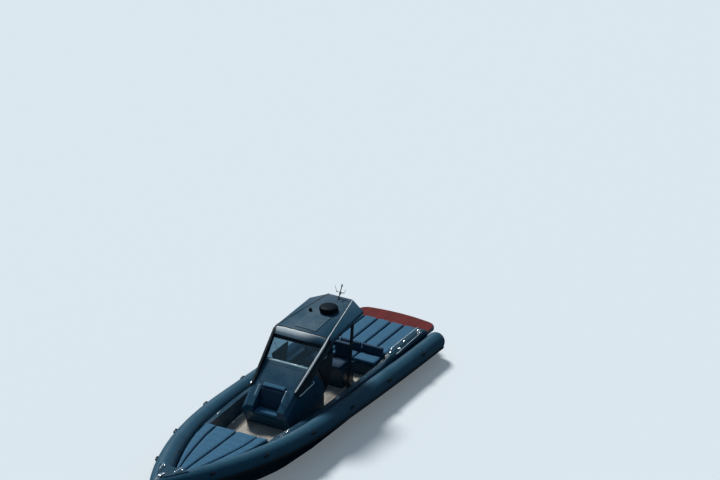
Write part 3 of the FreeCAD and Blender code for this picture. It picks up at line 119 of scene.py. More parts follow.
def effect(name, inputs, outputs):
    """An empty shader group: its tree, its inputs by name and its output node."""
    tree = bpy.data.node_groups.new(name, "ShaderNodeTree")
    for label, value in inputs.items():
        tree.interface.new_socket(label, in_out="INPUT", socket_type="NodeSocketFloat").default_value = value
    for label in outputs:
        tree.interface.new_socket(label, in_out="OUTPUT", socket_type="NodeSocketFloat")
    entry = tree.nodes.new("NodeGroupInput")
    leave = tree.nodes.new("NodeGroupOutput")
    place = put(tree, "ShaderNodeTexCoord").outputs["Object"]
    return tree, entry.outputs, leave.inputs, place


def woven_cloth():
    """Over-and-under threads that meet any flat or round surface as a fine basket."""
    tree, ins, outs, place = effect("woven_cloth", {"Thread Pitch": 0.004}, ["Height", "Shade"])
    axes = put(tree, "ShaderNodeSeparateXYZ", {0: place}).outputs
    turn = sums(tree, "DIVIDE", 2 * math.pi, ins["Thread Pitch"])
    waves = [sums(tree, "SINE", sums(tree, "MULTIPLY", axis, turn)) for axis in axes]
    total = sums(tree, "ADD", sums(tree, "ADD", waves[0], waves[1]), waves[2])
    height = sums(tree, "MULTIPLY_ADD", total, 0.166, 0.5)
    tree.links.new(height, outs["Height"])
    slub = put(tree, "ShaderNodeTexNoise", {"Vector": place, "Scale": 60.0, "Detail": 3.0})
    tree.links.new(sums(tree, "MULTIPLY", height, slub.outputs[0]), outs["Shade"])
    return tree


def drifting_tone():
    """Slow change of tone over a large surface, with finer cloudiness in it."""
    tree, ins, outs, place = effect("drifting_tone", {"Scale": 1.5, "Contrast": 1.0}, ["Tone"])
    broad = put(tree, "ShaderNodeTexNoise", {"Vector": place, "Scale": ins["Scale"], "Detail": 6.0,
                                             "Roughness": 0.6, "Distortion": 0.4}).outputs[0]
    centred = sums(tree, "SUBTRACT", broad, 0.5)
    tree.links.new(sums(tree, "MULTIPLY_ADD", centred, ins["Contrast"], 0.5), outs["Tone"])
    return tree


def rubbed_edges():
    """Where corners stand out and hands, feet and lines have rubbed them."""
    tree, ins, outs, place = effect("rubbed_edges", {"Start": 0.53, "End": 0.62}, ["Wear"])
    point = put(tree, "ShaderNodeNewGeometry").outputs["Pointiness"]
    edge = put(tree, "ShaderNodeMapRange", {"Value": point, "From Min": ins["Start"], "From Max": ins["End"]})
    patchy = put(tree, "ShaderNodeTexNoise", {"Vector": place, "Scale": 9.0, "Detail": 5.0, "Roughness": 0.7})
    tree.links.new(sums(tree, "MULTIPLY", edge.outputs[0], between(tree, patchy.outputs[0], 0.4, 0.62)),
                   outs["Wear"])
    return tree


def pebbled_skin():
    """Cells and creases of moulded vinyl, leather and non-slip gelcoat."""
    tree, ins, outs, place = effect("pebbled_skin", {"Scale": 300.0, "Evenness": 0.8}, ["Height"])
    cells = put(tree, "ShaderNodeTexVoronoi", {"Vector": place, "Scale": ins["Scale"],
                                               "Randomness": ins["Evenness"]}, feature="SMOOTH_F1")
    tree.links.new(between(tree, cells.outputs["Distance"], 0.0, 0.7, 1.0, 0.0), outs["Height"])
    return tree


def dried_spray():
    """Spots of salt that spray leaves, thicker low on the boat."""
    tree, ins, outs, place = effect("dried_spray", {"Amount": 0.5, "Spot Scale": 70.0}, ["Salt"])
    spots = put(tree, "ShaderNodeTexVoronoi", {"Vector": place, "Scale": ins["Spot Scale"]})
    cloud = put(tree, "ShaderNodeTexNoise", {"Vector": place, "Scale": 1.7, "Detail": 4.0}).outputs[0]
    height = put(tree, "ShaderNodeSeparateXYZ", {0: place}).outputs[2]
    low = between(tree, height, 0.1, 1.4, 1.0, 0.25)
    dots = between(tree, spots.outputs["Distance"], 0.08, 0.3, 1.0, 0.0)
    share = sums(tree, "MULTIPLY", between(tree, cloud, 0.42, 0.66), ins["Amount"])
    tree.links.new(sums(tree, "MULTIPLY", sums(tree, "MULTIPLY", dots, share), low), outs["Salt"])
    return tree


def laid_planks():
    """Planks along the boat with caulked joints, staggered ends and a tone for each."""
    tree, ins, outs, place = effect("laid_planks", {"Plank Width": 0.062, "Joint Width": 0.006,
                                                    "Plank Length": 1.9}, ["Joint", "Tone", "Grain"])
    x, y, _ = put(tree, "ShaderNodeSeparateXYZ", {0: place}).outputs
    across = sums(tree, "DIVIDE", sums(tree, "ADD", y, 40.0), ins["Plank Width"])
    row = sums(tree, "FLOOR", across)
    edge = sums(tree, "ABSOLUTE", sums(tree, "SUBTRACT", sums(tree, "FRACT", across), 0.5))
    shift = put(tree, "ShaderNodeTexWhiteNoise", {"W": row}, noise_dimensions="1D").outputs["Value"]
    along = sums(tree, "ADD", sums(tree, "DIVIDE", sums(tree, "ADD", x, 40.0), ins["Plank Length"]), shift)
    end = sums(tree, "ABSOLUTE", sums(tree, "SUBTRACT", sums(tree, "FRACT", along), 0.5))
    half = sums(tree, "DIVIDE", ins["Joint Width"], ins["Plank Width"])
    side_joint = sums(tree, "GREATER_THAN", edge,
                      sums(tree, "SUBTRACT", 0.5, sums(tree, "MULTIPLY", half, 0.5)))
    thin = sums(tree, "MULTIPLY", sums(tree, "DIVIDE", ins["Joint Width"], ins["Plank Length"]), 0.5)
    end_joint = sums(tree, "GREATER_THAN", end, sums(tree, "SUBTRACT", 0.5, thin))
    tree.links.new(sums(tree, "MAXIMUM", side_joint, end_joint), outs["Joint"])
    board = sums(tree, "ADD", sums(tree, "MULTIPLY", row, 7.31), sums(tree, "FLOOR", along))
    tone = put(tree, "ShaderNodeTexWhiteNoise", {"W": board}, noise_dimensions="1D").outputs["Value"]
    tree.links.new(tone, outs["Tone"])
    stretched = put(tree, "ShaderNodeVectorMath", {0: place, 1: (3.0, 90.0, 40.0)}, operation="MULTIPLY")
    streaks = put(tree, "ShaderNodeTexNoise", {"Vector": stretched.outputs[0], "Scale": 1.0, "Detail": 5.0,
                                               "Roughness": 0.65, "Distortion": 1.2})
    tree.links.new(streaks.outputs[0], outs["Grain"])
    return tree


def brushed_lines():
    """Fine lines that polishing leaves on bright metal."""
    tree, ins, outs, place = effect("brushed_lines", {"Fineness": 900.0}, ["Lines"])
    stretched = put(tree, "ShaderNodeVectorMath", {0: place, 1: (0.05, 1.0, 1.0)}, operation="MULTIPLY")
    lines = put(tree, "ShaderNodeTexNoise", {"Vector": stretched.outputs[0], "Scale": ins["Fineness"],
                                             "Detail": 2.0})
    tree.links.new(lines.outputs[0], outs["Lines"])
    return tree


CLOTH, DRIFT, RUBBED, PEBBLE = woven_cloth(), drifting_tone(), rubbed_edges(), pebbled_skin()
SALT, PLANKS, LINES = dried_spray(), laid_planks(), brushed_lines()


def place_effect(tree, group, **values):
    """A shader group in a material, with this material's own values."""
    node = tree.nodes.new("ShaderNodeGroup")
    node.node_tree = group
    for label, value in values.items():
        node.inputs[label.replace("_", " ")].default_value = value
    return node.outputs


def finish(name):
    """A new material's tree and its shader, with nothing wired yet."""
    material = bpy.data.materials.new(name)
    material.use_nodes = True
    return material, material.node_tree, material.node_tree.nodes["Principled BSDF"]


def shade(colour, factor):
    """A colour made darker or lighter, with its alpha."""
    return tuple(min(1.0, part * factor) for part in colour) + (1.0,)


def relief(tree, shader, height, distance):
    """Fine relief of a surface, as deep as the distance."""
    bump = put(tree, "ShaderNodeBump", {"Height": height, "Distance": distance, "Strength": 1.0})
    tree.links.new(bump.outputs[0], shader.inputs["Normal"])


def painted(name, colour, roughness, worn=None, salt=0.35, metal=0.0, coat=0.0, pebble=None, shine=0.14):
    """Gelcoat, lacquer or moulded plastic: tone, rubbed corners, salt and a fine surface."""
    material, tree, shader = finish(name)
    shader.inputs["Metallic"].default_value = metal
    shader.inputs["Coat Weight"].default_value = coat
    shader.inputs["Coat Roughness"].default_value = 0.06
    shader.inputs["Specular IOR Level"].default_value = shine
    tone = place_effect(tree, DRIFT, Scale=1.2, Contrast=1.6)["Tone"]
    base = blended(tree, tone, shade(colour, 0.82), shade(colour, 1.18))
    if worn:
        wear = place_effect(tree, RUBBED, Start=0.52, End=0.6)["Wear"]
        base = blended(tree, wear, base, shade(worn, 1.0))
    dusty = place_effect(tree, SALT, Amount=salt, Spot_Scale=55.0)["Salt"]
    base = blended(tree, dusty, base, (0.55, 0.6, 0.62, 1.0))
    tree.links.new(base, shader.inputs["Base Color"])
    rough = between(tree, tone, 0.2, 0.8, roughness * 0.8, roughness * 1.25)
    tree.links.new(sums(tree, "MULTIPLY_ADD", dusty, 0.3, rough), shader.inputs["Roughness"])
    if pebble:
        relief(tree, shader, place_effect(tree, PEBBLE, Scale=pebble[0], Evenness=0.7)["Height"], pebble[1])
    else:
        fine = put(tree, "ShaderNodeTexNoise", {"Scale": 14.0, "Detail": 3.0,
                                                "Vector": put(tree, "ShaderNodeTexCoord").outputs["Object"]})
        relief(tree, shader, fine.outputs[0], 0.0012)
    return material


def coated_tube(name, colour):
    """Rubber-coated cloth of the inflated tubes: faint weave, scuffs and salt."""
    material, tree, shader = finish(name)
    shader.inputs["Sheen Weight"].default_value = 0.1
    shader.inputs["Sheen Roughness"].default_value = 0.4
    shader.inputs["Specular IOR Level"].default_value = 0.16
    tone = place_effect(tree, DRIFT, Scale=0.9, Contrast=1.8)["Tone"]
    cloth = place_effect(tree, CLOTH, Thread_Pitch=0.0055)
    base = blended(tree, tone, shade(colour, 0.78), shade(colour, 1.22))
    base = blended(tree, sums(tree, "MULTIPLY", cloth["Shade"], 0.35), base, shade(colour, 0.5))
    dusty = place_effect(tree, SALT, Amount=0.5, Spot_Scale=45.0)["Salt"]
    base = blended(tree, dusty, base, (0.42, 0.5, 0.53, 1.0))
    tree.links.new(base, shader.inputs["Base Color"])
    tree.links.new(between(tree, tone, 0.15, 0.85, 0.34, 0.52), shader.inputs["Roughness"])
    wrinkle = put(tree, "ShaderNodeTexNoise", {"Scale": 2.2, "Detail": 2.0,
                                               "Vector": put(tree, "ShaderNodeTexCoord").outputs["Object"]})
    both = sums(tree, "MULTIPLY_ADD", cloth["Height"], 0.08, wrinkle.outputs[0])
    relief(tree, shader, both, 0.006)
    return material


def cushion_cloth(name, colour, pitch=0.006):
    """Woven outdoor cloth with sheen, slubs and faded tops."""
    material, tree, shader = finish(name)
    shader.inputs["Sheen Weight"].default_value = 0.1
    shader.inputs["Sheen Roughness"].default_value = 0.5
    shader.inputs["Specular IOR Level"].default_value = 0.2
    cloth = place_effect(tree, CLOTH, Thread_Pitch=pitch)
    tone = place_effect(tree, DRIFT, Scale=2.4, Contrast=1.5)["Tone"]
    base = blended(tree, tone, shade(colour, 0.85), shade(colour, 1.15))
    base = blended(tree, sums(tree, "MULTIPLY", cloth["Shade"], 0.9), base, shade(colour, 0.55))
    wear = place_effect(tree, RUBBED, Start=0.51, End=0.6)["Wear"]
    tree.links.new(blended(tree, wear, base, shade(colour, 1.6)), shader.inputs["Base Color"])
    tree.links.new(between(tree, cloth["Height"], 0.2, 0.9, 0.78, 0.92), shader.inputs["Roughness"])
    relief(tree, shader, cloth["Height"], 0.0011)
    return material


def planked(name, colour, caulk, width, length):
    """Oiled or bleached planks with caulked joints."""
    material, tree, shader = finish(name)
    shader.inputs["Specular IOR Level"].default_value = 0.06
    rows = place_effect(tree, PLANKS, Plank_Width=width, Joint_Width=0.009, Plank_Length=length)
    base = blended(tree, rows["Tone"], shade(colour, 0.78), shade(colour, 1.2))
    base = blended(tree, between(tree, rows["Grain"], 0.3, 0.75), base, shade(colour, 0.62))
    damp = place_effect(tree, DRIFT, Scale=1.8, Contrast=2.0)["Tone"]
    base = blended(tree, between(tree, damp, 0.55, 0.95, 0.0, 0.5), base, shade(colour, 0.5))
    tree.links.new(blended(tree, rows["Joint"], base, caulk + (1.0,)), shader.inputs["Base Color"])
    tree.links.new(between(tree, rows["Grain"], 0.2, 0.8, 0.5, 0.72), shader.inputs["Roughness"])
    height = sums(tree, "SUBTRACT", sums(tree, "MULTIPLY", rows["Grain"], 0.35), rows["Joint"])
    relief(tree, shader, height, 0.0015)
    return material


def bright_metal(name, colour, roughness):
    """Polished steel with fine lines and a slight change of tone."""
    material, tree, shader = finish(name)
    shader.inputs["Metallic"].default_value = 1.0
    lines = place_effect(tree, LINES, Fineness=500.0)["Lines"]
    tone = place_effect(tree, DRIFT, Scale=5.0, Contrast=1.5)["Tone"]
    tree.links.new(blended(tree, tone, shade(colour, 0.86), shade(colour, 1.1)), shader.inputs["Base Color"])
    rough = between(tree, lines, 0.3, 0.7, roughness * 0.7, roughness * 1.5)
    tree.links.new(rough, shader.inputs["Roughness"])
    relief(tree, shader, lines, 0.0002)
    return material


def rubbery(name, colour, scale=220.0):
    """Rubber or leather: pebbled skin, greyed where dust and salt lie."""
    material, tree, shader = finish(name)
    shader.inputs["Specular IOR Level"].default_value = 0.15
    skin = place_effect(tree, PEBBLE, Scale=scale, Evenness=0.9)["Height"]
    tone = place_effect(tree, DRIFT, Scale=3.0, Contrast=1.6)["Tone"]
    dusty = place_effect(tree, SALT, Amount=0.5, Spot_Scale=60.0)["Salt"]
    base = blended(tree, tone, shade(colour, 0.7), shade(colour, 1.4))
    tree.links.new(blended(tree, dusty, base, (0.3, 0.33, 0.34, 1.0)), shader.inputs["Base Color"])
    tree.links.new(between(tree, skin, 0.1, 0.9, 0.5, 0.68), shader.inputs["Roughness"])
    relief(tree, shader, skin, 0.0006)
    return material


def tinted_glass(name, colour, clear):
    """Dark laminated pane: dried spots over a tinted, partly clear sheet."""
    material, tree, shader = finish(name)
    shader.inputs["Transmission Weight"].default_value = clear
    shader.inputs["IOR"].default_value = 1.45
    tone = place_effect(tree, DRIFT, Scale=1.4, Contrast=1.2)["Tone"]
    spots = place_effect(tree, SALT, Amount=0.4, Spot_Scale=80.0)["Salt"]
    base = blended(tree, tone, shade(colour, 0.85), shade(colour, 1.15))
    tree.links.new(blended(tree, spots, base, (0.5, 0.55, 0.58, 1.0)), shader.inputs["Base Color"])
    tree.links.new(sums(tree, "MULTIPLY_ADD", spots, 0.4, 0.04), shader.inputs["Roughness"])
    return material


def visor_painted_highlight():
    """Visor lacquer with painted light: pale on the sunny starboard side as a painted highlight, and as dark
    as the roof at the port end as painted shade.
    """
    material, tree, shader = finish("visor_lacquer_painted_light")
    axes = put(tree, "ShaderNodeSeparateXYZ", {0: put(tree, "ShaderNodeTexCoord").outputs["Object"]}).outputs
    tone = place_effect(tree, DRIFT, Scale=2.0, Contrast=1.2)["Tone"]
    # Mask running from starboard and forward towards the port end, where the painted highlight gives way to
    # painted shade.
    line = sums(tree, "MULTIPLY_ADD", axes[0], 0.9, axes[1])
    share = between(tree, sums(tree, "MULTIPLY_ADD", tone, 0.1, line), 4.55, 5.25)
    painted_highlight_colour = blended(tree, tone, (0.66, 0.74, 0.77, 1), (0.78, 0.85, 0.87, 1))
    tree.links.new(blended(tree, share, painted_highlight_colour, (0.018, 0.078, 0.128, 1)), shader.inputs["Base Color"])
    tree.links.new(between(tree, tone, 0.2, 0.8, 0.24, 0.36), shader.inputs["Roughness"])
    relief(tree, shader, tone, 0.0008)
    return material


def lit_display(name):
    """A switched-on chart screen with plain patches of land and water."""
    material, tree, shader = finish(name)
    place = put(tree, "ShaderNodeTexCoord").outputs["Object"]
    shape = put(tree, "ShaderNodeTexNoise", {"Vector": place, "Scale": 9.0, "Detail": 4.0}).outputs[0]
    chart = blended(tree, between(tree, shape, 0.48, 0.5), (0.006, 0.035, 0.065, 1), (0.018, 0.042, 0.044, 1))
    tree.links.new(chart, shader.inputs["Base Color"])
    tree.links.new(chart, shader.inputs["Emission Color"])
    shader.inputs["Emission Strength"].default_value = 0.5
    tree.links.new(between(tree, shape, 0.3, 0.7, 0.06, 0.1), shader.inputs["Roughness"])
    return material


FINISH = {
    "hull_paint": painted("hull_gelcoat", (0.006, 0.022, 0.036), 0.16, worn=(0.04, 0.06, 0.07), salt=0.12,
                          coat=0.4),
    "deck_paint": painted("deck_gelcoat", (0.010, 0.045, 0.078), 0.22, worn=(0.05, 0.09, 0.12), salt=0.12,
                          pebble=(160.0, 0.0006)),
    "tube_fabric": coated_tube("coated_tube_cloth", (0.013, 0.080, 0.135)),
    "black_rubber": rubbery("black_rubber", (0.008, 0.012, 0.016)),
    "sole_wood": planked("bleached_sole_planks", (0.62, 0.57, 0.51), (0.03, 0.028, 0.026), 0.075, 1.7),
    "red_teak": planked("red_platform_planks", (0.150, 0.013, 0.014), (0.17, 0.06, 0.055), 0.085, 9.0),
    "console_paint": painted("console_lacquer", (0.014, 0.066, 0.118), 0.3, worn=(0.05, 0.12, 0.16),
                             salt=0.08, coat=0.05),
    "cushion_fabric": cushion_cloth("blue_cushion_cloth", (0.026, 0.132, 0.240)),
    "screen_glass": tinted_glass("dark_screen_glass", (0.15, 0.27, 0.35), 0.94),
    "visor_paint": visor_painted_highlight(),
    "black_paint": painted("black_lacquer", (0.002, 0.007, 0.012), 0.38, worn=(0.03, 0.05, 0.06),
                           salt=0.05),
    "roof_paint": painted("roof_gelcoat", (0.011, 0.056, 0.098), 0.38, worn=(0.02, 0.07, 0.11),
                          salt=0.04),
    "radome_plastic": painted("dark_dome_plastic", (0.002, 0.008, 0.015), 0.5, worn=(0.006, 0.014, 0.022),
                              salt=0.03, pebble=(420.0, 0.0003), shine=0.03),
    "wheel_rim": rubbery("stitched_wheel_leather", (0.012, 0.013, 0.015), 380.0),
    "stainless": bright_metal("polished_rails", (0.86, 0.88, 0.90), 0.26),
    "engine_paint": painted("engine_enamel", (0.05, 0.055, 0.06), 0.4, worn=(0.2, 0.2, 0.2), metal=0.2),
    "hatch_paint": painted("hatch_gelcoat", (0.028, 0.086, 0.136), 0.3, worn=(0.07, 0.11, 0.14),
                           salt=0.15, coat=0.1),
    "drive_paint": painted("drive_enamel", (0.012, 0.014, 0.017), 0.35, worn=(0.12, 0.12, 0.12),
                           metal=0.3),
}
# Darker copy of the blue cushion cloth: painted shade for the cushions that lie in shade (the console seat's
# back rest, the helm seats and the rear backrests).
SHADED_CUSHION_CLOTH = cushion_cloth("painted_shade_seat_cloth", (0.020, 0.060, 0.115))
# Pale strip colour: a painted highlight along the port crease and arch.
HIGHLIGHT_TRIM = painted("painted_highlight_edge_trim", (0.80, 0.86, 0.88), 0.25, salt=0.05)
RED_LENS, GREEN_LENS, CLEAR_LENS = (tinted_glass(name, colour, 0.6) for name, colour in (
    ("red_lens", (0.5, 0.01, 0.01)), ("green_lens", (0.01, 0.35, 0.12)), ("clear_lens", (0.8, 0.85, 0.85))))
LEDGE_PAINT = painted("pale_ledge_lacquer", (0.10, 0.21, 0.27), 0.3, salt=0.05)
THREAD = cushion_cloth("pale_thread", (0.16, 0.24, 0.30), 0.002)
PIPING = cushion_cloth("blue_piping_cloth", (0.018, 0.080, 0.150), 0.003)
DISPLAY = lit_display("chart_display")
BLACK, CHROME, RUBBER = FINISH["black_paint"], FINISH["stainless"], FINISH["black_rubber"]

# Shapes


def piece_of(name, bm, material, body, stands_for=(), corner=40):
    """Piece from a finished mesh: merged, facing out, smooth below a corner angle, riding its body."""
    bmesh.ops.remove_doubles(bm, verts=bm.verts, dist=1e-5)
    bmesh.ops.recalc_face_normals(bm, faces=bm.faces)
    mesh = bpy.data.meshes.new(name)
    bm.to_mesh(mesh)
    bm.free()
    mesh.materials.append(material)
    mesh.shade_smooth()
    mesh.set_sharp_from_angle(angle=math.radians(corner))
    piece = bpy.data.objects.new(name, mesh)
    scene.collection.objects.link(piece)
    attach(piece, body)
    if stands_for:
        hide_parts(*stands_for)
    return piece


def merged_copy(node):
    """A solid's surface as clean many-sided faces, ready to be rounded."""
    bm = bmesh.new()
    bm.from_mesh(frame["nodes"][node].data)
    for layer in list(bm.loops.layers.float_vector.values()):
        bm.loops.layers.float_vector.remove(layer)
    bmesh.ops.remove_doubles(bm, verts=bm.verts, dist=2e-5)
    bmesh.ops.dissolve_limit(bm, angle_limit=math.radians(0.4), verts=bm.verts, edges=bm.edges)
    clean = bmesh.new()
    corners = [clean.verts.new(v.co) for v in bm.verts]
    for face in bm.faces:
        try:
            clean.faces.new([corners[v.index] for v in face.verts])
        except ValueError:
            pass
    bm.free()
    return clean


def softened(node, width, steps, corner=32):
    """The solid with its edges rounded as moulded or machined ones are; a width of 0 leaves them."""
    slot = slot_of[node]
    piece = piece_of(node + "_finished", merged_copy(node), FINISH[slot], home[node], (node,), corner)
    if width:
        edge = piece.modifiers.new("rounded_edges", "BEVEL")
        edge.width, edge.segments, edge.limit_method = width, steps, "ANGLE"
        edge.angle_limit = math.radians(corner)
        edge.harden_normals = True
        edge.use_clamp_overlap = True
    return piece


def added(bm, other, place=None):
    """Copies one mesh into another, moved by a matrix."""
    corners = {}
    for v in other.verts:
        corners[v] = bm.verts.new(place @ v.co if place else v.co)
    for face in other.faces:
        bm.faces.new([corners[v] for v in face.verts])
    other.free()


def lofted(bm, rings, loop=False):
    """Skin over rings that have the same number of corners, its ends closed or joined in a loop."""
    rows = [[bm.verts.new(p) for p in ring] for ring in rings]
    count = len(rows[0])
    pairs = list(zip(rows, rows[1:])) + ([(rows[-1], rows[0])] if loop else [])
    for low, high in pairs:
        for i in range(count):
            j = (i + 1) % count
            bm.faces.new([low[i], low[j], high[j], high[i]])
    if not loop:
        bm.faces.new(rows[0][::-1])
        bm.faces.new(rows[-1])


def smooth_run(points, step):
    """Curve through the middle of each run, rounded past every point between."""
    path = [points[0]]
    for k, bend in enumerate(points[1:-1]):
        first = (points[0] + points[1]) / 2 if k == 0 else (points[k] + points[k + 1]) / 2
        last = (points[-2] + points[-1]) / 2 if k == len(points) - 3 else (points[k + 1] + points[k + 2]) / 2
        count = max(3, int(((bend - first).length + (last - bend).length) / step))
        for i in range(count + 1):
            t = i / count
            path.append(first * (1 - t) ** 2 + bend * 2 * t * (1 - t) + last * t ** 2)
    path.append(points[-1])
    trimmed = [path[0]]
    for point in path[1:]:
        if (point - trimmed[-1]).length > step * 0.3:
            trimmed.append(point)
    return trimmed


def directions(path):
    """Forward, outward (level) and upward at every point of a path."""
    rows = []
    for i in range(len(path)):
        ahead = (path[min(i + 1, len(path) - 1)] - path[max(i - 1, 0)]).normalized()
        out = UP.cross(ahead).normalized()
        rows.append((ahead, out, ahead.cross(out)))
    return rows


def bar(bm, path, radius, sides=16, rounded_ends=True):
    """Round bar along a path, its ends domed; radius is one number or one for each point."""
    sizes = radius if isinstance(radius, (list, tuple)) else [radius] * len(path)
    ways = []
    ahead = (path[1] - path[0]).normalized()
    side = ahead.orthogonal().normalized()
    for i in range(len(path)):
        ahead = (path[min(i + 1, len(path) - 1)] - path[max(i - 1, 0)]).normalized()
        side = (side - ahead * side.dot(ahead)).normalized()
        ways.append((ahead, side, ahead.cross(side)))
    rows = list(zip(path, sizes, ways))
    if rounded_ends:
        rows = domed(rows, (26, 52, 78))
    lofted(bm, round_rings(rows, sides))


def domed(rows, angles):
    """Rows of (place, radius, ways) with a dome of smaller rows before the first and after the last."""
    first, last = [], []
    for t in map(math.radians, angles):
        for made, (place, radius, ways), sign in ((first, rows[0], -1), (last, rows[-1], 1)):
            made.append((place + ways[0] * sign * radius * math.sin(t), radius * math.cos(t), ways))
    return first[::-1] + rows + last


def round_rings(rows, sides):
    """Circles of points for rows of (place, radius, ways)."""
    angles = [2 * math.pi * k / sides for k in range(sides)]
    return [[place + (ways[1] * math.cos(a) + ways[2] * math.sin(a)) * radius for a in angles]
            for place, radius, ways in rows]


def turned(bm, profile, at, way=UP, steps=48):
    """Lathe work: (radius, height) rows round an axis, poles closed."""
    spin = way.to_track_quat("Z", "Y").to_matrix()
    rings = []
    for r, h in profile:
        if r < 1e-6:
            rings.append([at + spin @ Vector((0, 0, h))])
        else:
            rings.append([at + spin @ Vector((r * math.cos(a), r * math.sin(a), h))
                          for a in (2 * math.pi * k / steps for k in range(steps))])
    made = [[bm.verts.new(p) for p in ring] for ring in rings]
    for low, high in zip(made, made[1:]):
        for i in range(steps):
            j = (i + 1) % steps
            corners = [low[i % len(low)], low[j % len(low)], high[j % len(high)], high[i % len(high)]]
            seen = list(dict.fromkeys(corners))
            if len(seen) > 2:
                bm.faces.new(seen)
    for ring, flip in ((made[0], True), (made[-1], False)):
        if len(ring) > 2:
            bm.faces.new(ring[::-1] if flip else ring)


def block(bm, low, high, radius, steps, place):
    """Box with rounded edges, moved by a matrix."""
    one = bmesh.new()
    bmesh.ops.create_cube(one, size=1.0)
    low, high = Vector(low), Vector(high)
    for v in one.verts:
        v.co = Vector((low[i] + (v.co[i] + 0.5) * (high[i] - low[i]) for i in range(3)))
    bmesh.ops.bevel(one, geom=one.edges[:], offset=radius, segments=steps, profile=0.5, affect="EDGES",
                    clamp_overlap=True)
    added(bm, one, place)


def rounded_outline(points, radius, steps):
    """Plan corners rounded; each point is (a, b)."""
    made = []
    count = len(points)
    for i in range(count):
        before, here, after = (Vector(points[(i + k) % count]) for k in (-1, 0, 1))
        into, out = (here - before), (after - here)
        reach = min(radius, into.length * 0.45, out.length * 0.45)
        a, b = here - into.normalized() * reach, here + out.normalized() * reach
        for k in range(steps + 1):
            t = k / steps
            made.append(a * (1 - t) ** 2 + here * 2 * t * (1 - t) + b * t ** 2)
    return made


def put_on_side(bm, hand):
    """Moves what was made for the port side to its own side."""
    for v in bm.verts:
        v.co.y *= hand


def across(half, count):
    """Places from starboard to port, from -half to half."""
    return [half * k / count for k in range(-count, count + 1)]


def mirrored(bm):
    """The same mesh on the other side of the boat as well."""
    other = bm.copy()
    for v in other.verts:
        v.co.y = -v.co.y
    bmesh.ops.reverse_faces(other, faces=other.faces)
    added(bm, other)


# Inflated tubes and their strakes

# The tubes' axis: straight from the stern to the turn, then in to the tip, rising all the way
TUBE_RADIUS, TUBE_AXIS, TUBE_TURN, TUBE_TIP, TRANSOM = 0.253, 1.416, 6.26, 12.247, 0.6
TUBE_STERN, STERN_HEIGHT, TUBE_RISE = 0.47, 0.46, 0.734
CHAMBER_JOINTS, CHAMBER_MIDDLES = (1.15, 3.35, 5.55, 7.7, 9.6, 11.2), (1.9, 4.3, 6.6, 8.6, 10.4)
TUBE_SIDES = 72
TURN_SHARPNESS, RISE_SHARPNESS = 2.17, 1.8


def tube_breadth(x):
    """Distance of the tube's axis from the centre line."""
    if x <= TUBE_TURN:
        return TUBE_AXIS
    return TUBE_AXIS * (1 - ((x - TUBE_TURN) / (TUBE_TIP - TUBE_TURN)) ** TURN_SHARPNESS)


def tube_height(x):
    """Height of the tube's axis."""
    return STERN_HEIGHT + TUBE_RISE * (x / TUBE_TIP) ** RISE_SHARPNESS


def tube_line():
    """The port tube's axis as a smooth run of points."""
    stations = [TUBE_STERN] + [TRANSOM + s * (TUBE_TURN - TRANSOM) for s in (0.32, 0.636, 0.936)]
    stations += [TUBE_TURN + s * (TUBE_TIP - TUBE_TURN)
                 for s in (0.14, 0.307, 0.458, 0.591, 0.708, 0.808, 0.892, 0.952, 1.0)]
    return smooth_run([Vector((x, tube_breadth(x), tube_height(x))) for x in stations], 0.07)


TUBE_PATH = tube_line()
TUBE_WAYS = directions(TUBE_PATH)


def on_tube(i, angle, reach):
    """Point round the tube at a path index: angle from outboard, up positive, degrees."""
    _, out, up = TUBE_WAYS[i]
    a = math.radians(angle)
    return TUBE_PATH[i] + (out * math.cos(a) + up * math.sin(a)) * reach


def nearest(x):
    """Index of the point of the tube's axis next to a station."""
    return min(range(len(TUBE_PATH)), key=lambda i: abs(TUBE_PATH[i].x - x))


def inflated_tube(tag, hand):
    """Tube with domed ends, cut off at the centre line where the two meet."""
    bm = bmesh.new()
    rows = [(place, TUBE_RADIUS, ways) for place, ways in zip(TUBE_PATH, TUBE_WAYS)]
    lofted(bm, round_rings(domed(rows, range(8, 89, 8)), TUBE_SIDES))
    cut = bmesh.ops.bisect_plane(bm, geom=bm.verts[:] + bm.edges[:] + bm.faces[:], plane_co=(0, 0, 0),
                                 plane_no=-ABEAM, clear_outer=True)
    loop = [e for e in cut["geom_cut"] if isinstance(e, bmesh.types.BMEdge)]
    bmesh.ops.contextual_create(bm, geom=loop)
    put_on_side(bm, hand)
    piece_of("inflated_tube_" + tag, bm, FINISH["tube_fabric"], "boat", ("tube_" + tag,), 60)


def rubbing_strake(tag, hand):
    """Broad band with two ribs, on the tube's outer side, up to where the two would meet at the bow."""
    profile = [(-33.5, 0.2533), (-33.0, 0.264), (-31.0, 0.276), (-29.0, 0.2865), (-26.8, 0.2865),
               (-26.0, 0.279), (-22.0, 0.279), (-21.2, 0.2865), (-19.0, 0.2865), (-17.0, 0.276),
               (-15.0, 0.264), (-14.5, 0.2533)]
    stations = [i for i in range(len(TUBE_PATH)) if on_tube(i, -24, 0.29).y > 0.012]
    bm = bmesh.new()
    lofted(bm, [[on_tube(i, angle, reach) for angle, reach in profile] for i in stations])
    put_on_side(bm, hand)
    piece_of("rubbing_strake_" + tag, bm, RUBBER, "boat", ("strake_" + tag,), 50)


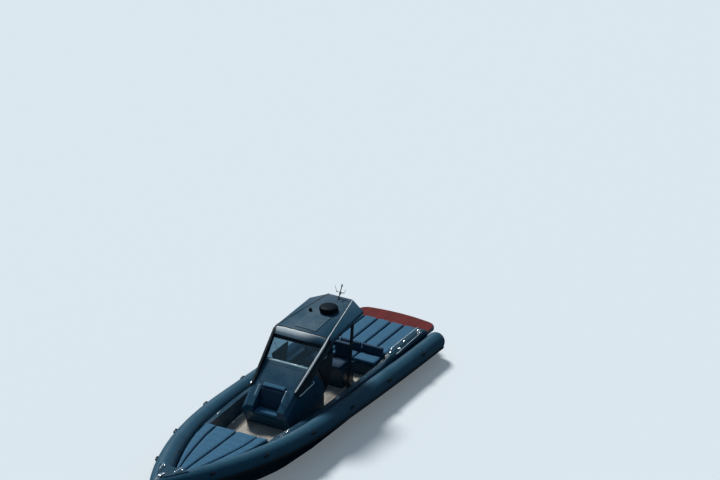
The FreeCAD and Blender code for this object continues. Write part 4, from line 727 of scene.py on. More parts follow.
def chamber_joints():
    """Taped joints between the air chambers."""
    bm = bmesh.new()
    tape = [(-0.032, -0.003), (-0.03, 0.0016), (-0.024, 0.0026), (0.024, 0.0026), (0.03, 0.0016),
            (0.032, -0.003)]
    for x in CHAMBER_JOINTS:
        i = nearest(x)
        ahead, out, up = TUBE_WAYS[i]
        rings = []
        for k in range(TUBE_SIDES):
            a = 2 * math.pi * k / TUBE_SIDES
            arm = out * math.cos(a) + up * math.sin(a)
            rings.append([TUBE_PATH[i] + ahead * along + arm * (TUBE_RADIUS + rise) for along, rise in tape])
        lofted(bm, rings, loop=True)
    mirrored(bm)
    piece_of("chamber_joint_tapes", bm, FINISH["tube_fabric"], "boat", corner=70)


for side_name, side_hand in SIDES:
    inflated_tube(side_name, side_hand)
    rubbing_strake(side_name, side_hand)
chamber_joints()

# Hull, decks, console, hardtop and drives from their solids

# Width of the rounding and its steps for each solid
ROUNDED = {
    "stern_deck": (0.010, 2), "side_decks": (0.010, 2), "bow_deck": (0.010, 2), "bow_cap": (0.003, 2),
    "tube_handles": (0.005, 2), "sole_teak": (0.003, 1), "swim_platform": (0.016, 3),
    "platform_teak": (0.004, 2), "windscreen": (0.002, 1), "side_arches": (0.012, 3),
    "hardtop": (0.022, 3), "sunroof_panel": (0.006, 2), "rear_struts": (0.014, 3),
    "dash_panel": (0.004, 2), "helm_module": (0.014, 3), "rear_bench": (0.014, 3),
    "engine_hatch": (0.010, 2), "engine_port": (0.03, 3), "engine_starboard": (0.03, 3),
    "anchor_hatch": (0.004, 2), "bow_roller": (0.003, 2), "transom_shield_port": (0.008, 2),
    "transom_shield_starboard": (0.008, 2), "gimbal_port": (0.003, 2), "gimbal_starboard": (0.003, 2),
    "drive_leg_port": (0.008, 2), "drive_leg_starboard": (0.008, 2), "propeller_port": (0.001, 1),
    "propeller_starboard": (0.001, 1), "bow_eye": (0.003, 2), "stern_eyes": (0.003, 2),
}
softened("hull", 0, 0, corner=28)
for solid, (rounding, rounding_steps) in ROUNDED.items():
    softened(solid, rounding, rounding_steps)
softened("console", 0.020, 3, corner=12)
softened("console_sides", 0.012, 3, corner=12)

# Hardtop, screen and their fittings

# The hardtop rises aft from its front edge. The glass runs down from there, the arches run on to their feet.
ROOF_FRONT, ROOF_FRONT_HEIGHT, ROOF_LENGTH, ROOF_RISE = 5.07, 2.41, 2.02, 0.14
CREASE_HALF, ARCH_FOOT, ARCH_FOOT_HALF = 0.765, 6.54, 0.605
SCREEN_FOOT = Vector((5.74, 0, 1.79))
SLOPE_AT = Vector((ROOF_FRONT, 0, ROOF_FRONT_HEIGHT))
SLOPE_RUN = (SCREEN_FOOT - SLOPE_AT).normalized()
SLOPE_OUT = Vector((-SLOPE_RUN.z, 0, SLOPE_RUN.x))


def roof_top(x):
    """Height of the hardtop's upper face on the centre line."""
    return ROOF_FRONT_HEIGHT + (ROOF_FRONT - x) / ROOF_LENGTH * ROOF_RISE


def arch_inner(x):
    """Half breadth between the arches."""
    return CREASE_HALF + (ARCH_FOOT_HALF - CREASE_HALF) * (x - ROOF_FRONT) / (ARCH_FOOT - ROOF_FRONT)


def on_slope(run, lift):
    """Point on the centre line, down the screen's slope from the roof's front edge and out from the glass."""
    return SLOPE_AT + SLOPE_RUN * run + SLOPE_OUT * lift


def roof_dome():
    """Flat dome with a joint line, on a low collar."""
    bm = bmesh.new()
    profile = [(0.12, -0.05), (0.12, 0.0), (0.228, 0.0), (0.243, 0.006), (0.25, 0.022), (0.25, 0.044),
               (0.246, 0.046), (0.246, 0.050), (0.25, 0.052), (0.249, 0.070), (0.243, 0.088), (0.224, 0.107),
               (0.180, 0.121), (0.10, 0.128), (0.0, 0.130)]
    x, y, stand = 3.85, 0.09, 0.02
    turned(bm, profile, Vector((x, y, roof_top(x) + stand)), steps=64)
    piece_of("radome_finished", bm, FINISH["radome_plastic"], "boat", ("radome",), 45)


def roof_puck():
    """Small domed aerial."""
    low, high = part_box("aerial_puck")
    middle = (low + high) / 2
    radius, half = (high.y - low.y) / 2, high.z - middle.z
    bm = bmesh.new()
    turned(bm, [(radius, low.z - middle.z), (radius, 0.012), (radius * 0.93, 0.026),
                (radius * 0.7, half - 0.004), (radius * 0.35, half), (0.0, half)], middle)
    piece_of("aerial_puck_finished", bm, FINISH["radome_plastic"], "boat",
             ("aerial_puck",), 45)


def leaning_mast():
    """Mast that leans aft, its crossbar with two whips and a horn, and the all-round lamp."""
    lean, x, sunk, tall = math.radians(32), 3.2, 0.03, 0.36
    way = Vector((-math.sin(lean), 0, math.cos(lean)))
    foot = Vector((x, 0, roof_top(x) - sunk))
    head = foot + way * tall
    bm = bmesh.new()
    turned(bm, [(0.05, 0.0), (0.05, 0.034), (0.044, 0.040), (0.02, 0.043), (0.0, 0.043)], foot)
    bar(bm, [foot, foot + way * 0.15, head], [0.015, 0.014, 0.011], rounded_ends=False)
    cross = foot + way * 0.205
    bar(bm, [cross + Vector((0, y, 0)) for y in (-0.115, 0, 0.115)], 0.009)
    for y, whip in ((-0.105, 0.15), (0.105, 0.11)):
        start = cross + Vector((0, y, 0))
        bar(bm, [start, start + Vector((-0.01, y * 0.3, whip * 0.5)),
                 start + Vector((-0.02, y * 0.55, whip))], [0.007, 0.005, 0.004])
    horn = [(0.008, -0.02), (0.010, 0.02), (0.014, 0.05), (0.026, 0.075), (0.030, 0.082), (0.024, 0.080),
            (0.010, 0.06), (0.0, 0.055)]
    turned(bm, horn, cross + Vector((0.012, 0.05, 0.004)), Vector((1, 0, 0.1)), 24)
    turned(bm, [(0.012, -0.004), (0.026, 0.0), (0.026, 0.014), (0.020, 0.017), (0.0, 0.017)], head, way, 32)
    turned(bm, [(0.0, 0.048), (0.026, 0.048), (0.027, 0.054), (0.020, 0.060), (0.0, 0.062)], head, way, 32)
    piece_of("light_mast_finished", bm, BLACK, "boat", ("light_mast",), 40)
    bm = bmesh.new()
    turned(bm, [(0.0, 0.0165), (0.021, 0.0165), (0.0225, 0.022), (0.0225, 0.043), (0.021, 0.0485),
                (0.0, 0.0485)], head, way, 32)
    piece_of("masthead_lens", bm, CLEAR_LENS, "boat", corner=40)


def crowned_visor():
    """Rolled band under the hardtop's front edge, with a black band below it and a seal above; both are dark
    rubber that also serves as painted shade for the shadow lines under the visor and under the roof's edge.
    """
    section = [(0.004, -0.052), (0.002, 0.000), (0.02, 0.009), (0.06, 0.020), (0.11, 0.025), (0.16, 0.022),
               (0.20, 0.010), (0.228, -0.010), (0.240, -0.034), (0.240, -0.052)]
    bm = bmesh.new()
    rings = []
    for share in across(1, 16):
        droop = 0.010 * abs(share) ** 6
        places = [on_slope(run, lift - droop) for run, lift in section]
        rings.append([Vector((p.x, (arch_inner(p.x) - 0.002) * share, p.z)) for p in places])
    lofted(bm, rings)
    piece_of("screen_visor_finished", bm, FINISH["visor_paint"], "boat", ("screen_visor",), 60)
    bm = bmesh.new()
    # Black band under the visor: rubber that is also painted shade for the shadow line beneath the visor.
    band = [(0.236, -0.056), (0.236, -0.030), (0.262, -0.033), (0.328, -0.036), (0.334, -0.040),
            (0.334, -0.056)]
    places = [on_slope(run, lift) for run, lift in band]
    lofted(bm, [[Vector((p.x, (arch_inner(p.x) - 0.004) * share, p.z)) for p in places]
                for share in across(1, 8)])
    # Seal along the roof's front edge: dark rubber that also paints the shadow line under the edge.
    seal = on_slope(0.002, 0.004)
    bar(bm, [Vector((seal.x, y, seal.z)) for y in across(CREASE_HALF - 0.01, 8)], 0.010, 10, False)
    piece_of("visor_seals_and_painted_shade", bm, RUBBER, "boat", corner=60)


def crease_trims():
    """Strip outboard of each crease and down its arch, and a bead inboard. The port strip is pale as a
    painted highlight along the crease; the starboard strip is black as painted shade.
    """
    crease = [(Vector((3.06, 0.358, 2.550)), 0.5), (Vector((4.0, 0.548, 2.485)), 0.5),
              (Vector((4.98, 0.747, 2.417)), 0.55), (Vector((5.09, 0.764, 2.401)), 0.8),
              (Vector((5.25, 0.746, 2.289)), 1.4), (Vector((6.0, 0.664, 1.788)), 1.4),
              (Vector((6.48, 0.612, 1.467)), 1.0), (Vector((6.53, 0.607, 1.433)), 0.5)]
    strip = [(-0.002, -0.006), (0.026, -0.034), (0.035, -0.028), (0.037, -0.006), (0.030, 0.005),
             (0.002, 0.007)]
    bead = [(-0.016, -0.005), (-0.002, -0.005), (-0.001, 0.006), (-0.006, 0.011), (-0.013, 0.008)]
    for name, section, port_highlight_look in (("edge_strip", strip, (HIGHLIGHT_TRIM, "visor_paint")),
                                     ("edge_bead", bead, (RUBBER, "black_rubber"))):
        for tag, hand in SIDES:
            bm = bmesh.new()
            lofted(bm, [[place + Vector((0, out * size, rise * size + 0.001)) for out, rise in section]
                        for place, size in crease])
            put_on_side(bm, hand)
            # Port strip pale as a painted highlight, starboard strip black as painted shade.
            material, slot = port_highlight_look if tag == "port" else (BLACK, "black_paint")
            piece_of(name + "_" + tag, bm, material, "boat", corner=40)


def screen_edging():
    """Pale ledge along the foot of the glass, and the wiper."""
    bm = bmesh.new()
    section = [(5.735, 1.775), (5.745, 1.800), (5.775, 1.812), (5.825, 1.806), (5.850, 1.786), (5.842, 1.770)]
    ledge_half, droop = 0.652, 0.008
    lofted(bm, [[Vector((x, ledge_half * share, z - droop * abs(share) ** 4)) for x, z in section]
                for share in across(1, 8)])
    piece_of("screen_ledge", bm, LEDGE_PAINT, "boat", corner=50)
    bm = bmesh.new()
    pivot = on_slope(0.86, -0.024)
    pivot.y = -0.16
    turned(bm, [(0.022, -0.02), (0.022, 0.012), (0.016, 0.018), (0.0, 0.019)], pivot, SLOPE_OUT, 24)
    tip = pivot - ABEAM * 0.30 - SLOPE_RUN * 0.22 + SLOPE_OUT * 0.016
    arm = [pivot + SLOPE_OUT * 0.014, pivot.lerp(tip, 0.5) + SLOPE_OUT * 0.022, tip]
    bar(bm, arm, [0.008, 0.006, 0.004], 10)
    half_blade = ABEAM * -0.17 - SLOPE_RUN * 0.16
    bar(bm, [tip - half_blade - SLOPE_OUT * 0.010, tip - SLOPE_OUT * 0.008,
             tip + half_blade - SLOPE_OUT * 0.010], 0.005, 8)
    piece_of("screen_wiper", bm, BLACK, "boat", corner=40)


def front_panel_joint():
    """Joint of the lift-out panel in the console's sloping front."""
    top, foot = Vector((5.83, 0, 1.79)), Vector((6.50, 0, 1.415))
    out = Vector((top.z - foot.z, 0, foot.x - top.x)).normalized()
    bm = bmesh.new()
    corners = [(0.12, -0.57), (0.12, 0.57), (0.90, 0.50), (0.90, -0.50)]
    ring = [top.lerp(foot, share) + Vector((0, y, 0)) + out * 0.001
            for share, y in rounded_outline(corners, 0.05, 5)]
    for a, b in zip(ring, ring[1:] + ring[:1]):
        if (b - a).length > 1e-4:
            bar(bm, [a, b], 0.0035, 6, False)
    piece_of("front_panel_joint", bm, RUBBER, "boat", corner=60)


roof_dome()
roof_puck()
leaning_mast()
crowned_visor()
crease_trims()
screen_edging()
front_panel_joint()

# Helm

# The dash slopes up and forward; places on it are given across, up its face and out from it
DASH_UP, DASH_OUT = Vector((0.6, 0, 0.8)), Vector((-0.8, 0, 0.6))
DASH_TURN = DASH_OUT.to_track_quat("Z", "Y").to_matrix().to_4x4()
WHEEL_Y, WHEEL_REACH, LEVERS_Y, LEVERS_APART, ROCKERS_Y = -0.23, 0.12, 0.13, 0.03, 0.25


def dash_at(y, up, out):
    """Point by the sloping dash: across, up along its face and out from it."""
    return Vector((5.225, y, 1.2)) + DASH_UP * up + DASH_OUT * out


def fixed_to_dash(y, up, out):
    """Matrix that sets a piece on the dash."""
    return Matrix.Translation(dash_at(y, up, out)) @ DASH_TURN


def steering_wheel():
    """Padded rim, three flat spokes and a hub, on its column."""
    bm = bmesh.new()
    middle, way = dash_at(WHEEL_Y, 0, WHEEL_REACH), DASH_OUT
    spin = way.to_track_quat("Z", "Y").to_matrix()
    radius, thickness, grip_wave, grips = 0.163, 0.015, 0.0009, 18
    rings = []
    for a in (2 * math.pi * k / 72 for k in range(72)):
        thick = thickness + grip_wave * math.cos(a * grips)
        arm = spin @ Vector((math.cos(a), math.sin(a), 0))
        rings.append([middle + arm * (radius + thick * math.cos(b)) + way * (thick * math.sin(b))
                      for b in (2 * math.pi * j / 16 for j in range(16))])
    lofted(bm, rings, loop=True)
    piece_of("wheel_rim_leather", bm, FINISH["wheel_rim"], "wheel", ("steering_wheel",), 60)
    bm = bmesh.new()
    edge = way * 0.003
    for a in (math.radians(90 + 120 * k) for k in range(3)):
        arm = spin @ Vector((math.cos(a), math.sin(a), 0))
        rows = []
        for reach, wide, drop in ((0.02, 0.022, 0.016), (0.07, 0.017, 0.012), (0.12, 0.014, 0.004),
                                  (0.158, 0.018, 0)):
            mid, side = middle + arm * reach - way * drop, way.cross(arm) * wide
            rows.append([mid + side - edge, mid + side + edge, mid - side + edge, mid - side - edge])
        lofted(bm, rows)
    turned(bm, [(0.024, -0.095), (0.024, -0.03), (0.036, -0.024), (0.038, -0.006), (0.034, 0.006),
                (0.018, 0.012), (0.0, 0.013)], middle - way * 0.01, way, 40)
    piece_of("wheel_spokes", bm, CHROME, "wheel", corner=40)


def throttles():
    """Binnacle with two levers that end in round grips."""
    low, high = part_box("throttle_levers")
    bm = bmesh.new()
    block(bm, (-0.055, -0.06, -0.012), (0.055, 0.06, 0.03), 0.012, 3, fixed_to_dash(LEVERS_Y, 0, 0.012))
    for y in (LEVERS_Y - LEVERS_APART, LEVERS_Y + LEVERS_APART):
        foot = dash_at(y, 0, 0.035)
        tip = Vector((low.x + 0.022, y, high.z - 0.022))
        bar(bm, [foot, foot.lerp(tip, 0.5) + UP * 0.006, tip], [0.009, 0.007, 0.009])
        bar(bm, [tip - ABEAM * 0.014, tip + ABEAM * 0.014], 0.0155, 16)
    piece_of("throttle_levers_finished", bm, BLACK, "boat", ("throttle_levers",), 40)


def dash_rockers():
    """Row of rocker switches."""
    bm = bmesh.new()
    count, spacing = 8, 0.027
    for k in range(count):
        block(bm, (-0.009, -0.0085, -0.004), (0.009, 0.0085, 0.007), 0.003, 2,
              fixed_to_dash(ROCKERS_Y + spacing * k, 0.02, 0.006))
    piece_of("dash_rockers", bm, RUBBER, "boat", corner=40)


def chart_displays():
    """Two large displays on the slope between the dash and the screen's foot."""
    face = (SCREEN_FOOT - Vector((5.30, 0, 1.30))).normalized()
    out = Vector((-face.z, 0, face.x))
    turn = Matrix((face, ABEAM, out)).transposed().to_4x4()
    casings, panes = bmesh.new(), bmesh.new()
    for y in (-0.25, 0.17):
        place = Matrix.Translation(Vector((5.47, y, 1.4893))) @ turn
        block(casings, (-0.13, -0.19, -0.004), (0.13, 0.19, 0.024), 0.010, 3, place)
        block(panes, (-0.112, -0.172, 0.020), (0.112, 0.172, 0.0262), 0.002, 1, place)
    piece_of("chart_display_frames", casings, BLACK, "boat", corner=40)
    piece_of("chart_display_glass", panes, DISPLAY, "boat", corner=40)


steering_wheel()
throttles()
dash_rockers()
chart_displays()

# Rails


def sunpad_rails():
    """Rail beside the sunpad with its two ends, a post and round feet, on both sides."""
    bm = bmesh.new()
    low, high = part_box("aft_rails")
    y, top, middle = 1.078, high.z - 0.014, low.x + (high.x - low.x) / 2
    run = [Vector((low.x + 0.014, y, low.z + 0.004)), Vector((low.x + 0.02, y, top)), Vector((1.2, y, top)),
           Vector((1.9, y, top)), Vector((high.x - 0.02, y, top)), Vector((high.x - 0.014, y, low.z + 0.004))]
    bar(bm, smooth_run(run, 0.02), 0.014, 20, False)
    bar(bm, [Vector((middle, y, low.z)), Vector((middle, y, top))], 0.010, 16, False)
    for x in (low.x + 0.014, middle, high.x - 0.014):
        turned(bm, [(0.028, -0.004), (0.028, 0.004), (0.020, 0.008), (0.0, 0.009)], Vector((x, y, low.z)))
    mirrored(bm)
    piece_of("aft_rails_finished", bm, CHROME, "boat", ("aft_rails",), 50)


def bow_rails():
    """Short low rail on each side of the bow, on two round feet."""
    bm = bmesh.new()
    low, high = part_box("bow_rails")
    top = high.z - 0.012
    fore, aft = Vector((high.x - 0.012, 0.212, low.z)), Vector((low.x + 0.012, 0.262, low.z + 0.002))
    lift = UP * (top - low.z)
    rise = [fore, Vector((fore.x - 0.01, fore.y, top)), fore.lerp(aft, 0.3) + lift,
            fore.lerp(aft, 0.7) + lift, Vector((aft.x + 0.01, aft.y, top)), aft]
    bar(bm, smooth_run(rise, 0.012), 0.011, 16, False)
    for end in (fore, aft):
        turned(bm, [(0.022, -0.006), (0.022, 0.003), (0.015, 0.006), (0.0, 0.007)],
               Vector((end.x, end.y, low.z + 0.002)))
    mirrored(bm)
    piece_of("bow_rails_finished", bm, CHROME, "boat", ("bow_rails",), 50)


def hand_rails():
    """Grab rail bent along each side of the console, a short bar on each wing and the sole-edge rail."""
    bm = bmesh.new()
    run = [Vector((5.71, 0.700, 1.400)), Vector((5.74, 0.755, 1.405)), Vector((6.14, 0.758, 1.385)),
           Vector((6.44, 0.752, 1.335)), Vector((6.47, 0.700, 1.320))]
    bar(bm, smooth_run(run, 0.02), 0.011, 16, False)
    bar(bm, [Vector((6.08, 0.69, 1.388)), Vector((6.10, 0.755, 1.388))], 0.008, 12, False)
    upper, lower, lift = Vector((6.54, 0.40, 1.405)), Vector((6.80, 0.40, 1.19)), Vector((0.036, 0, 0.046))
    wing = [upper, upper + lift, upper.lerp(lower, 0.3) + lift, upper.lerp(lower, 0.7) + lift,
            lower + lift, lower]
    bar(bm, smooth_run(wing, 0.012), 0.011, 14, False)
    for p in (run[0], Vector((6.08, 0.702, 1.388)), run[-1]):
        turned(bm, [(0.024, -0.012), (0.024, 0.004), (0.016, 0.008), (0.0, 0.009)], p, ABEAM, 24)
    sole_edge = [Vector((6.56, 0.905, 0.388)), Vector((6.56, 0.905, 0.45)), Vector((6.86, 0.892, 0.45)),
                 Vector((7.14, 0.875, 0.45)), Vector((7.14, 0.875, 0.388))]
    bar(bm, smooth_run(sole_edge, 0.02), 0.010, 16, False)
    mirrored(bm)
    piece_of("console_hand_rails", bm, CHROME, "boat", corner=50)


sunpad_rails()
bow_rails()
hand_rails()

# Cushions

# How firmly every cushion is filled, the frames the stuffing takes, the pieces and their upper edges
FILL, STUFFED_FRAMES = 0.7, 20
CUSHIONS = []
RIMS = {}


def pad_form(name, rings, voxel, cap, body, node, rim=None):
    """A cushion's starting form, shrunk a little because stuffing swells it, and its upper edge.

    The voxel sets how fine the cloth is; the cap is as far as any point of it may travel.
    """
    RIMS[name] = ([p.copy() for p in (rim or rings[-1])], body)
    bm = bmesh.new()
    lofted(bm, rings)
    bmesh.ops.recalc_face_normals(bm, faces=bm.faces)
    mesh = bpy.data.meshes.new(name)
    bm.to_mesh(mesh)
    bm.free()
    piece = bpy.data.objects.new(name, mesh)
    scene.collection.objects.link(piece)
    edge = piece.modifiers.new("rounded", "BEVEL")
    edge.width, edge.segments, edge.limit_method = voxel * 1.3, 3, "ANGLE"
    remesh = piece.modifiers.new("even", "REMESH")
    remesh.mode, remesh.voxel_size = "VOXEL", voxel
    CUSHIONS.append((piece, cap, body, node))


def box_rings(low, high, shrink):
    """Lower and upper ring of a box, shrunk."""
    x0, y0, z0 = (low[i] + shrink for i in range(3))
    x1, y1, z1 = (high[i] - shrink for i in range(3))
    return [[Vector((x, y, z)) for x, y in ((x0, y0), (x1, y0), (x1, y1), (x0, y1))] for z in (z0, z1)]


def baked(piece):
    """The piece's evaluated mesh in place of its modifiers."""
    mesh = bpy.data.meshes.new_from_object(piece.evaluated_get(bpy.context.evaluated_depsgraph_get()))
    piece.modifiers.clear()
    old, piece.data = piece.data, mesh
    bpy.data.meshes.remove(old)


def stuff_cushions():
    """All the cushions are blown up together under pressure, each point's travel capped."""
    rest = {}
    for piece, *_ in CUSHIONS:
        baked(piece)
        rest[piece.name] = [v.co.copy() for v in piece.data.vertices]
    for piece, *_ in CUSHIONS:
        cloth = piece.modifiers.new("stuffing", "CLOTH")
        cloth.settings.use_pressure = True
        cloth.settings.uniform_pressure_force = 4.0
        cloth.settings.effector_weights.gravity = 0.0
        cloth.settings.quality = 4
        cloth.settings.tension_stiffness = cloth.settings.compression_stiffness = 12.0
        cloth.settings.bending_stiffness = 0.6
        cloth.point_cache.frame_start, cloth.point_cache.frame_end = 1, STUFFED_FRAMES
    for step in range(1, STUFFED_FRAMES + 1):
        scene.frame_set(step)
    for piece, *_ in CUSHIONS:
        baked(piece)
    scene.frame_set(1)
    for piece, cap, body, node in CUSHIONS:
        for v, start in zip(piece.data.vertices, rest[piece.name]):
            travel = v.co - start
            if travel.length > cap:
                v.co = start + travel.normalized() * cap
        level = piece.modifiers.new("even_skin", "SUBSURF")
        level.levels = level.render_levels = 1
        baked(piece)
        piece.data.materials.clear()
        # Cushions that lie in shade take the darker cloth as painted shade.
        in_painted_shade = piece.name.startswith(("front_seat_rest", "helm", "rear_back"))
        piece.data.materials.append(SHADED_CUSHION_CLOTH if in_painted_shade else FINISH["cushion_fabric"])
        piece.data.shade_smooth()
        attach(piece, body)
        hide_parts(node)


def row_of_pads(node, name, count, shrink, voxel, cap, body):
    """Cushions side by side across a solid."""
    low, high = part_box(node)
    width = (high.y - low.y) / count
    for k in range(count):
        a = Vector((low.x, low.y + width * k, low.z))
        b = Vector((high.x, low.y + width * (k + 1), high.z))
        pad_form("%s_%d" % (name, k + 1), box_rings(a, b, shrink), voxel, cap, body, node)


# Station and height along the bow deck, and the bow pad's sizes
DECK_HEIGHTS = [(8.302, 0.925), (9.397, 0.945), (10.397, 0.975), (11.15, 1.0)]
PAD_STATIONS = [8.36, 9.0, 9.397, 9.91, 10.4, 10.8, 11.15]
PAD_TO_TUBE, PAD_HALF, PAD_START, INNER_SHARE = 0.034, 0.925, 0.004, 0.66
PAD_THICKNESS, PAD_SEAM, PAD_SHRINK = 0.08, 0.005, 0.010


def deck_height(x):
    """Height of the bow deck."""
    for (x0, z0), (x1, z1) in zip(DECK_HEIGHTS, DECK_HEIGHTS[1:]):
        if x <= x1:
            return z0 + (z1 - z0) * (x - x0) / (x1 - x0)
    return DECK_HEIGHTS[-1][1]


def bow_panels():
    """Each half of the bow pad is an inner and an outer panel with a seam between."""
    first, last = PAD_STATIONS[0], PAD_STATIONS[-1]
    for tag, hand in SIDES:
        for part, start, end in (("inner", 0.0, INNER_SHARE), ("outer", INNER_SHARE, 1.0)):
            rings = []
            for x in PAD_STATIONS:
                ahead = TUBE_WAYS[nearest(x)][0]
                slope = math.atan2(-ahead.y, ahead.x)
                reach = tube_breadth(x) - (TUBE_RADIUS + PAD_TO_TUBE) / math.cos(slope)
                wide = min(reach, PAD_HALF) - PAD_START
                y0, y1 = PAD_START + wide * start + PAD_SEAM, PAD_START + wide * end - PAD_SEAM
                z0, z1 = deck_height(x) + PAD_SHRINK, deck_height(x) + PAD_THICKNESS
                inside = x + (PAD_SHRINK if x == first else -PAD_SHRINK if x == last else 0)
                rings.append([Vector((inside, y * hand, z))
                              for y, z in ((y0, z0), (y1, z0), (y1, z1), (y0, z1))])
            pad_form("bow_pad_%s_%s" % (part, tag), rings, 0.022, 0.012, "boat", "bow_pad_" + tag,
                     [ring[2] for ring in rings] + [ring[3] for ring in rings[::-1]])


def helm_pads():
    """Seat and back of the two helm seats, each drawn from the side and carried across."""
    shrink, width = 0.012, 0.5
    carry = ABEAM * (width - 2 * shrink)
    seat = [(3.496, 0.942), (4.008, 0.942), (4.026, 1.018), (3.496, 1.028)]
    back = [(3.382, 0.942), (3.460, 0.942), (3.430, 1.438), (3.314, 1.438)]
    for tag, edge in (("port", 0.02), ("starboard", -0.52)):
        for part, side_view, (start, end) in (("seat", seat, (2, 3)), ("back", back, (1, 2))):
            near = [Vector((x, edge + shrink, z)) for x, z in side_view]
            pad_form("helm_%s_%s" % (part, tag), [near, [p + carry for p in near]], 0.014, 0.014, "boat",
                     "helm_seats", [near[start], near[end], near[end] + carry, near[start] + carry])


def front_pads():
    """Cushion, back rest and head roll of the seat in the console's nose."""
    low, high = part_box("front_seat_cushion")
    overhang = Vector((0.034, 0, 0))
    pad_form("front_seat_pad", box_rings(low, high + overhang, 0.011), 0.014, 0.012, "boat",
             "front_seat_cushion")
    half = 0.335
    roll = [(6.435, 1.440), (6.560, 1.374), (6.566, 1.418), (6.440, 1.482)]
    near, far = ([Vector((x, y, z)) for x, z in roll] for y in (-half, half))
    pad_form("front_seat_head", [near, far], 0.012, 0.010, "boat", "front_seat_back",
             [near[3], near[2], far[2], far[3]])
    half = 0.342
    rest = [(6.572, 0.810), (6.652, 0.810), (6.652, 0.950), (6.604, 1.340), (6.590, 1.384), (6.545, 1.384)]
    near, far = ([Vector((x, y, z)) for x, z in rest] for y in (-half, half))
    pad_form("front_seat_rest", [near, far], 0.014, 0.010, "boat", "front_seat_back",
             near[1:5] + far[4:0:-1])


row_of_pads("aft_sunpad", "aft_sunpad_panel", 5, 0.010, 0.022, 0.012, "hatch")
bow_panels()
row_of_pads("rear_bench_cushion", "rear_seat", 3, 0.012, 0.016, 0.014, "boat")
row_of_pads("rear_backrest", "rear_back", 3, 0.012, 0.016, 0.014, "boat")
helm_pads()
front_pads()
stuff_cushions()

# Piping and stitches

CORNER_ROUNDING, CORNER_STEP = 0.035, 0.02


def sewing(name, stitched):
    """Node tree that lays piping, or a row of stitches, along the edges that it is given."""
    tree = bpy.data.node_groups.new(name, "GeometryNodeTree")
    tree.interface.new_socket("Geometry", in_out="INPUT", socket_type="NodeSocketGeometry")
    for label, value in (("Spacing", 0.018), ("Length", 0.011), ("Thickness", 0.0016)):
        tree.interface.new_socket(label, in_out="INPUT", socket_type="NodeSocketFloat").default_value = value
    tree.interface.new_socket("Cloth", in_out="INPUT", socket_type="NodeSocketMaterial")
    tree.interface.new_socket("Geometry", in_out="OUTPUT", socket_type="NodeSocketGeometry")
    entry, leave = tree.nodes.new("NodeGroupInput").outputs, tree.nodes.new("NodeGroupOutput")
    edges = put(tree, "GeometryNodeMeshToCurve", {"Mesh": entry["Geometry"]}).outputs[0]
    line = put(tree, "GeometryNodeResampleCurve", {"Curve": edges, "Length": entry["Spacing"]},
               mode="LENGTH").outputs[0]
    if stitched:
        along = put(tree, "GeometryNodeInputTangent").outputs[0]
        turn = put(tree, "FunctionNodeAlignRotationToVector", {"Vector": along}, axis="X").outputs[0]
        size = put(tree, "ShaderNodeCombineXYZ", {"X": entry["Length"], "Y": entry["Thickness"],
                                                  "Z": entry["Thickness"]}).outputs[0]
        thread = put(tree, "GeometryNodeMeshIcoSphere", {"Radius": 0.6, "Subdivisions": 1}).outputs[0]
        made = put(tree, "GeometryNodeInstanceOnPoints",
                   {"Points": line, "Instance": thread, "Rotation": turn, "Scale": size}).outputs[0]
    else:
        ring = put(tree, "GeometryNodeCurvePrimitiveCircle",
                   {"Resolution": 8, "Radius": entry["Thickness"]}).outputs[0]
        made = put(tree, "GeometryNodeCurveToMesh", {"Curve": line, "Profile Curve": ring}).outputs[0]
    real = put(tree, "GeometryNodeRealizeInstances", {"Geometry": made}).outputs[0]
    last = put(tree, "GeometryNodeSetMaterial", {"Geometry": real, "Material": entry["Cloth"]}).outputs[0]
    tree.links.new(last, leave.inputs[0])
    return tree


def rounded_loop(points, radius, step):
    """Closed loop through a rim with its corners rounded, in steps of about one length."""
    made, count = [], len(points)
    for i in range(count):
        before, here, after = (points[(i + k) % count] for k in (-1, 0, 1))
        reach = min(radius, (here - before).length * 0.45, (after - here).length * 0.45)
        a, b = here + (before - here).normalized() * reach, here + (after - here).normalized() * reach
        made += [a * (1 - t) ** 2 + here * 2 * t * (1 - t) + b * t ** 2 for t in (0, 0.2, 0.4, 0.6, 0.8, 1)]
    dense = []
    for a, b in zip(made, made[1:] + made[:1]):
        parts = max(1, int((b - a).length / step))
        dense += [a.lerp(b, k / parts) for k in range(parts)]
    return dense


def sewn_lines(name, body, inset, lift, material, stitched, sizes):
    """Lines along every cushion of a body, laid on the stuffed cloth.

    Each line starts a little inside its rim and over it, and is then moved to the nearest cloth.
    """
    bm = bmesh.new()
    for tag, (rim, owner) in RIMS.items():
        if owner != body:
            continue
        cloth = bmesh.new()
        cloth.from_mesh(bpy.data.objects[tag].data)
        skin = BVHTree.FromBMesh(cloth)
        cloth.free()
        middle = sum(rim, Vector()) / len(rim)
        facing = sum(((a - middle).cross(b - middle) for a, b in zip(rim, rim[1:] + rim[:1])),
                     Vector()).normalized()
        if facing.z + 0.3 * facing.x < 0:
            facing = -facing
        loop = []
        for p in rounded_loop(rim, CORNER_ROUNDING, CORNER_STEP):
            toward = middle - p
            toward = (toward - facing * toward.dot(facing)).normalized()
            guess = p + toward * inset + facing * lift
            found = skin.find_nearest(guess)
            loop.append(bm.verts.new(found[0] if found[0] else guess))
        for a, b in zip(loop, loop[1:] + loop[:1]):
            bm.edges.new((a, b))
    mesh = bpy.data.meshes.new(name)
    bm.to_mesh(mesh)
    bm.free()
    piece = bpy.data.objects.new(name, mesh)
    scene.collection.objects.link(piece)
    tree = sewing(name + "_lines", stitched)
    laid = piece.modifiers.new("sewn", "NODES")
    laid.node_group = tree
    for item in tree.interface.items_tree:
        if item.item_type == "SOCKET" and item.in_out == "INPUT" and item.name in sizes:
            laid[item.identifier] = sizes[item.name]
        elif item.item_type == "SOCKET" and item.name == "Cloth":
            laid[item.identifier] = material
    baked(piece)
    piece.data.shade_smooth()
    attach(piece, body)


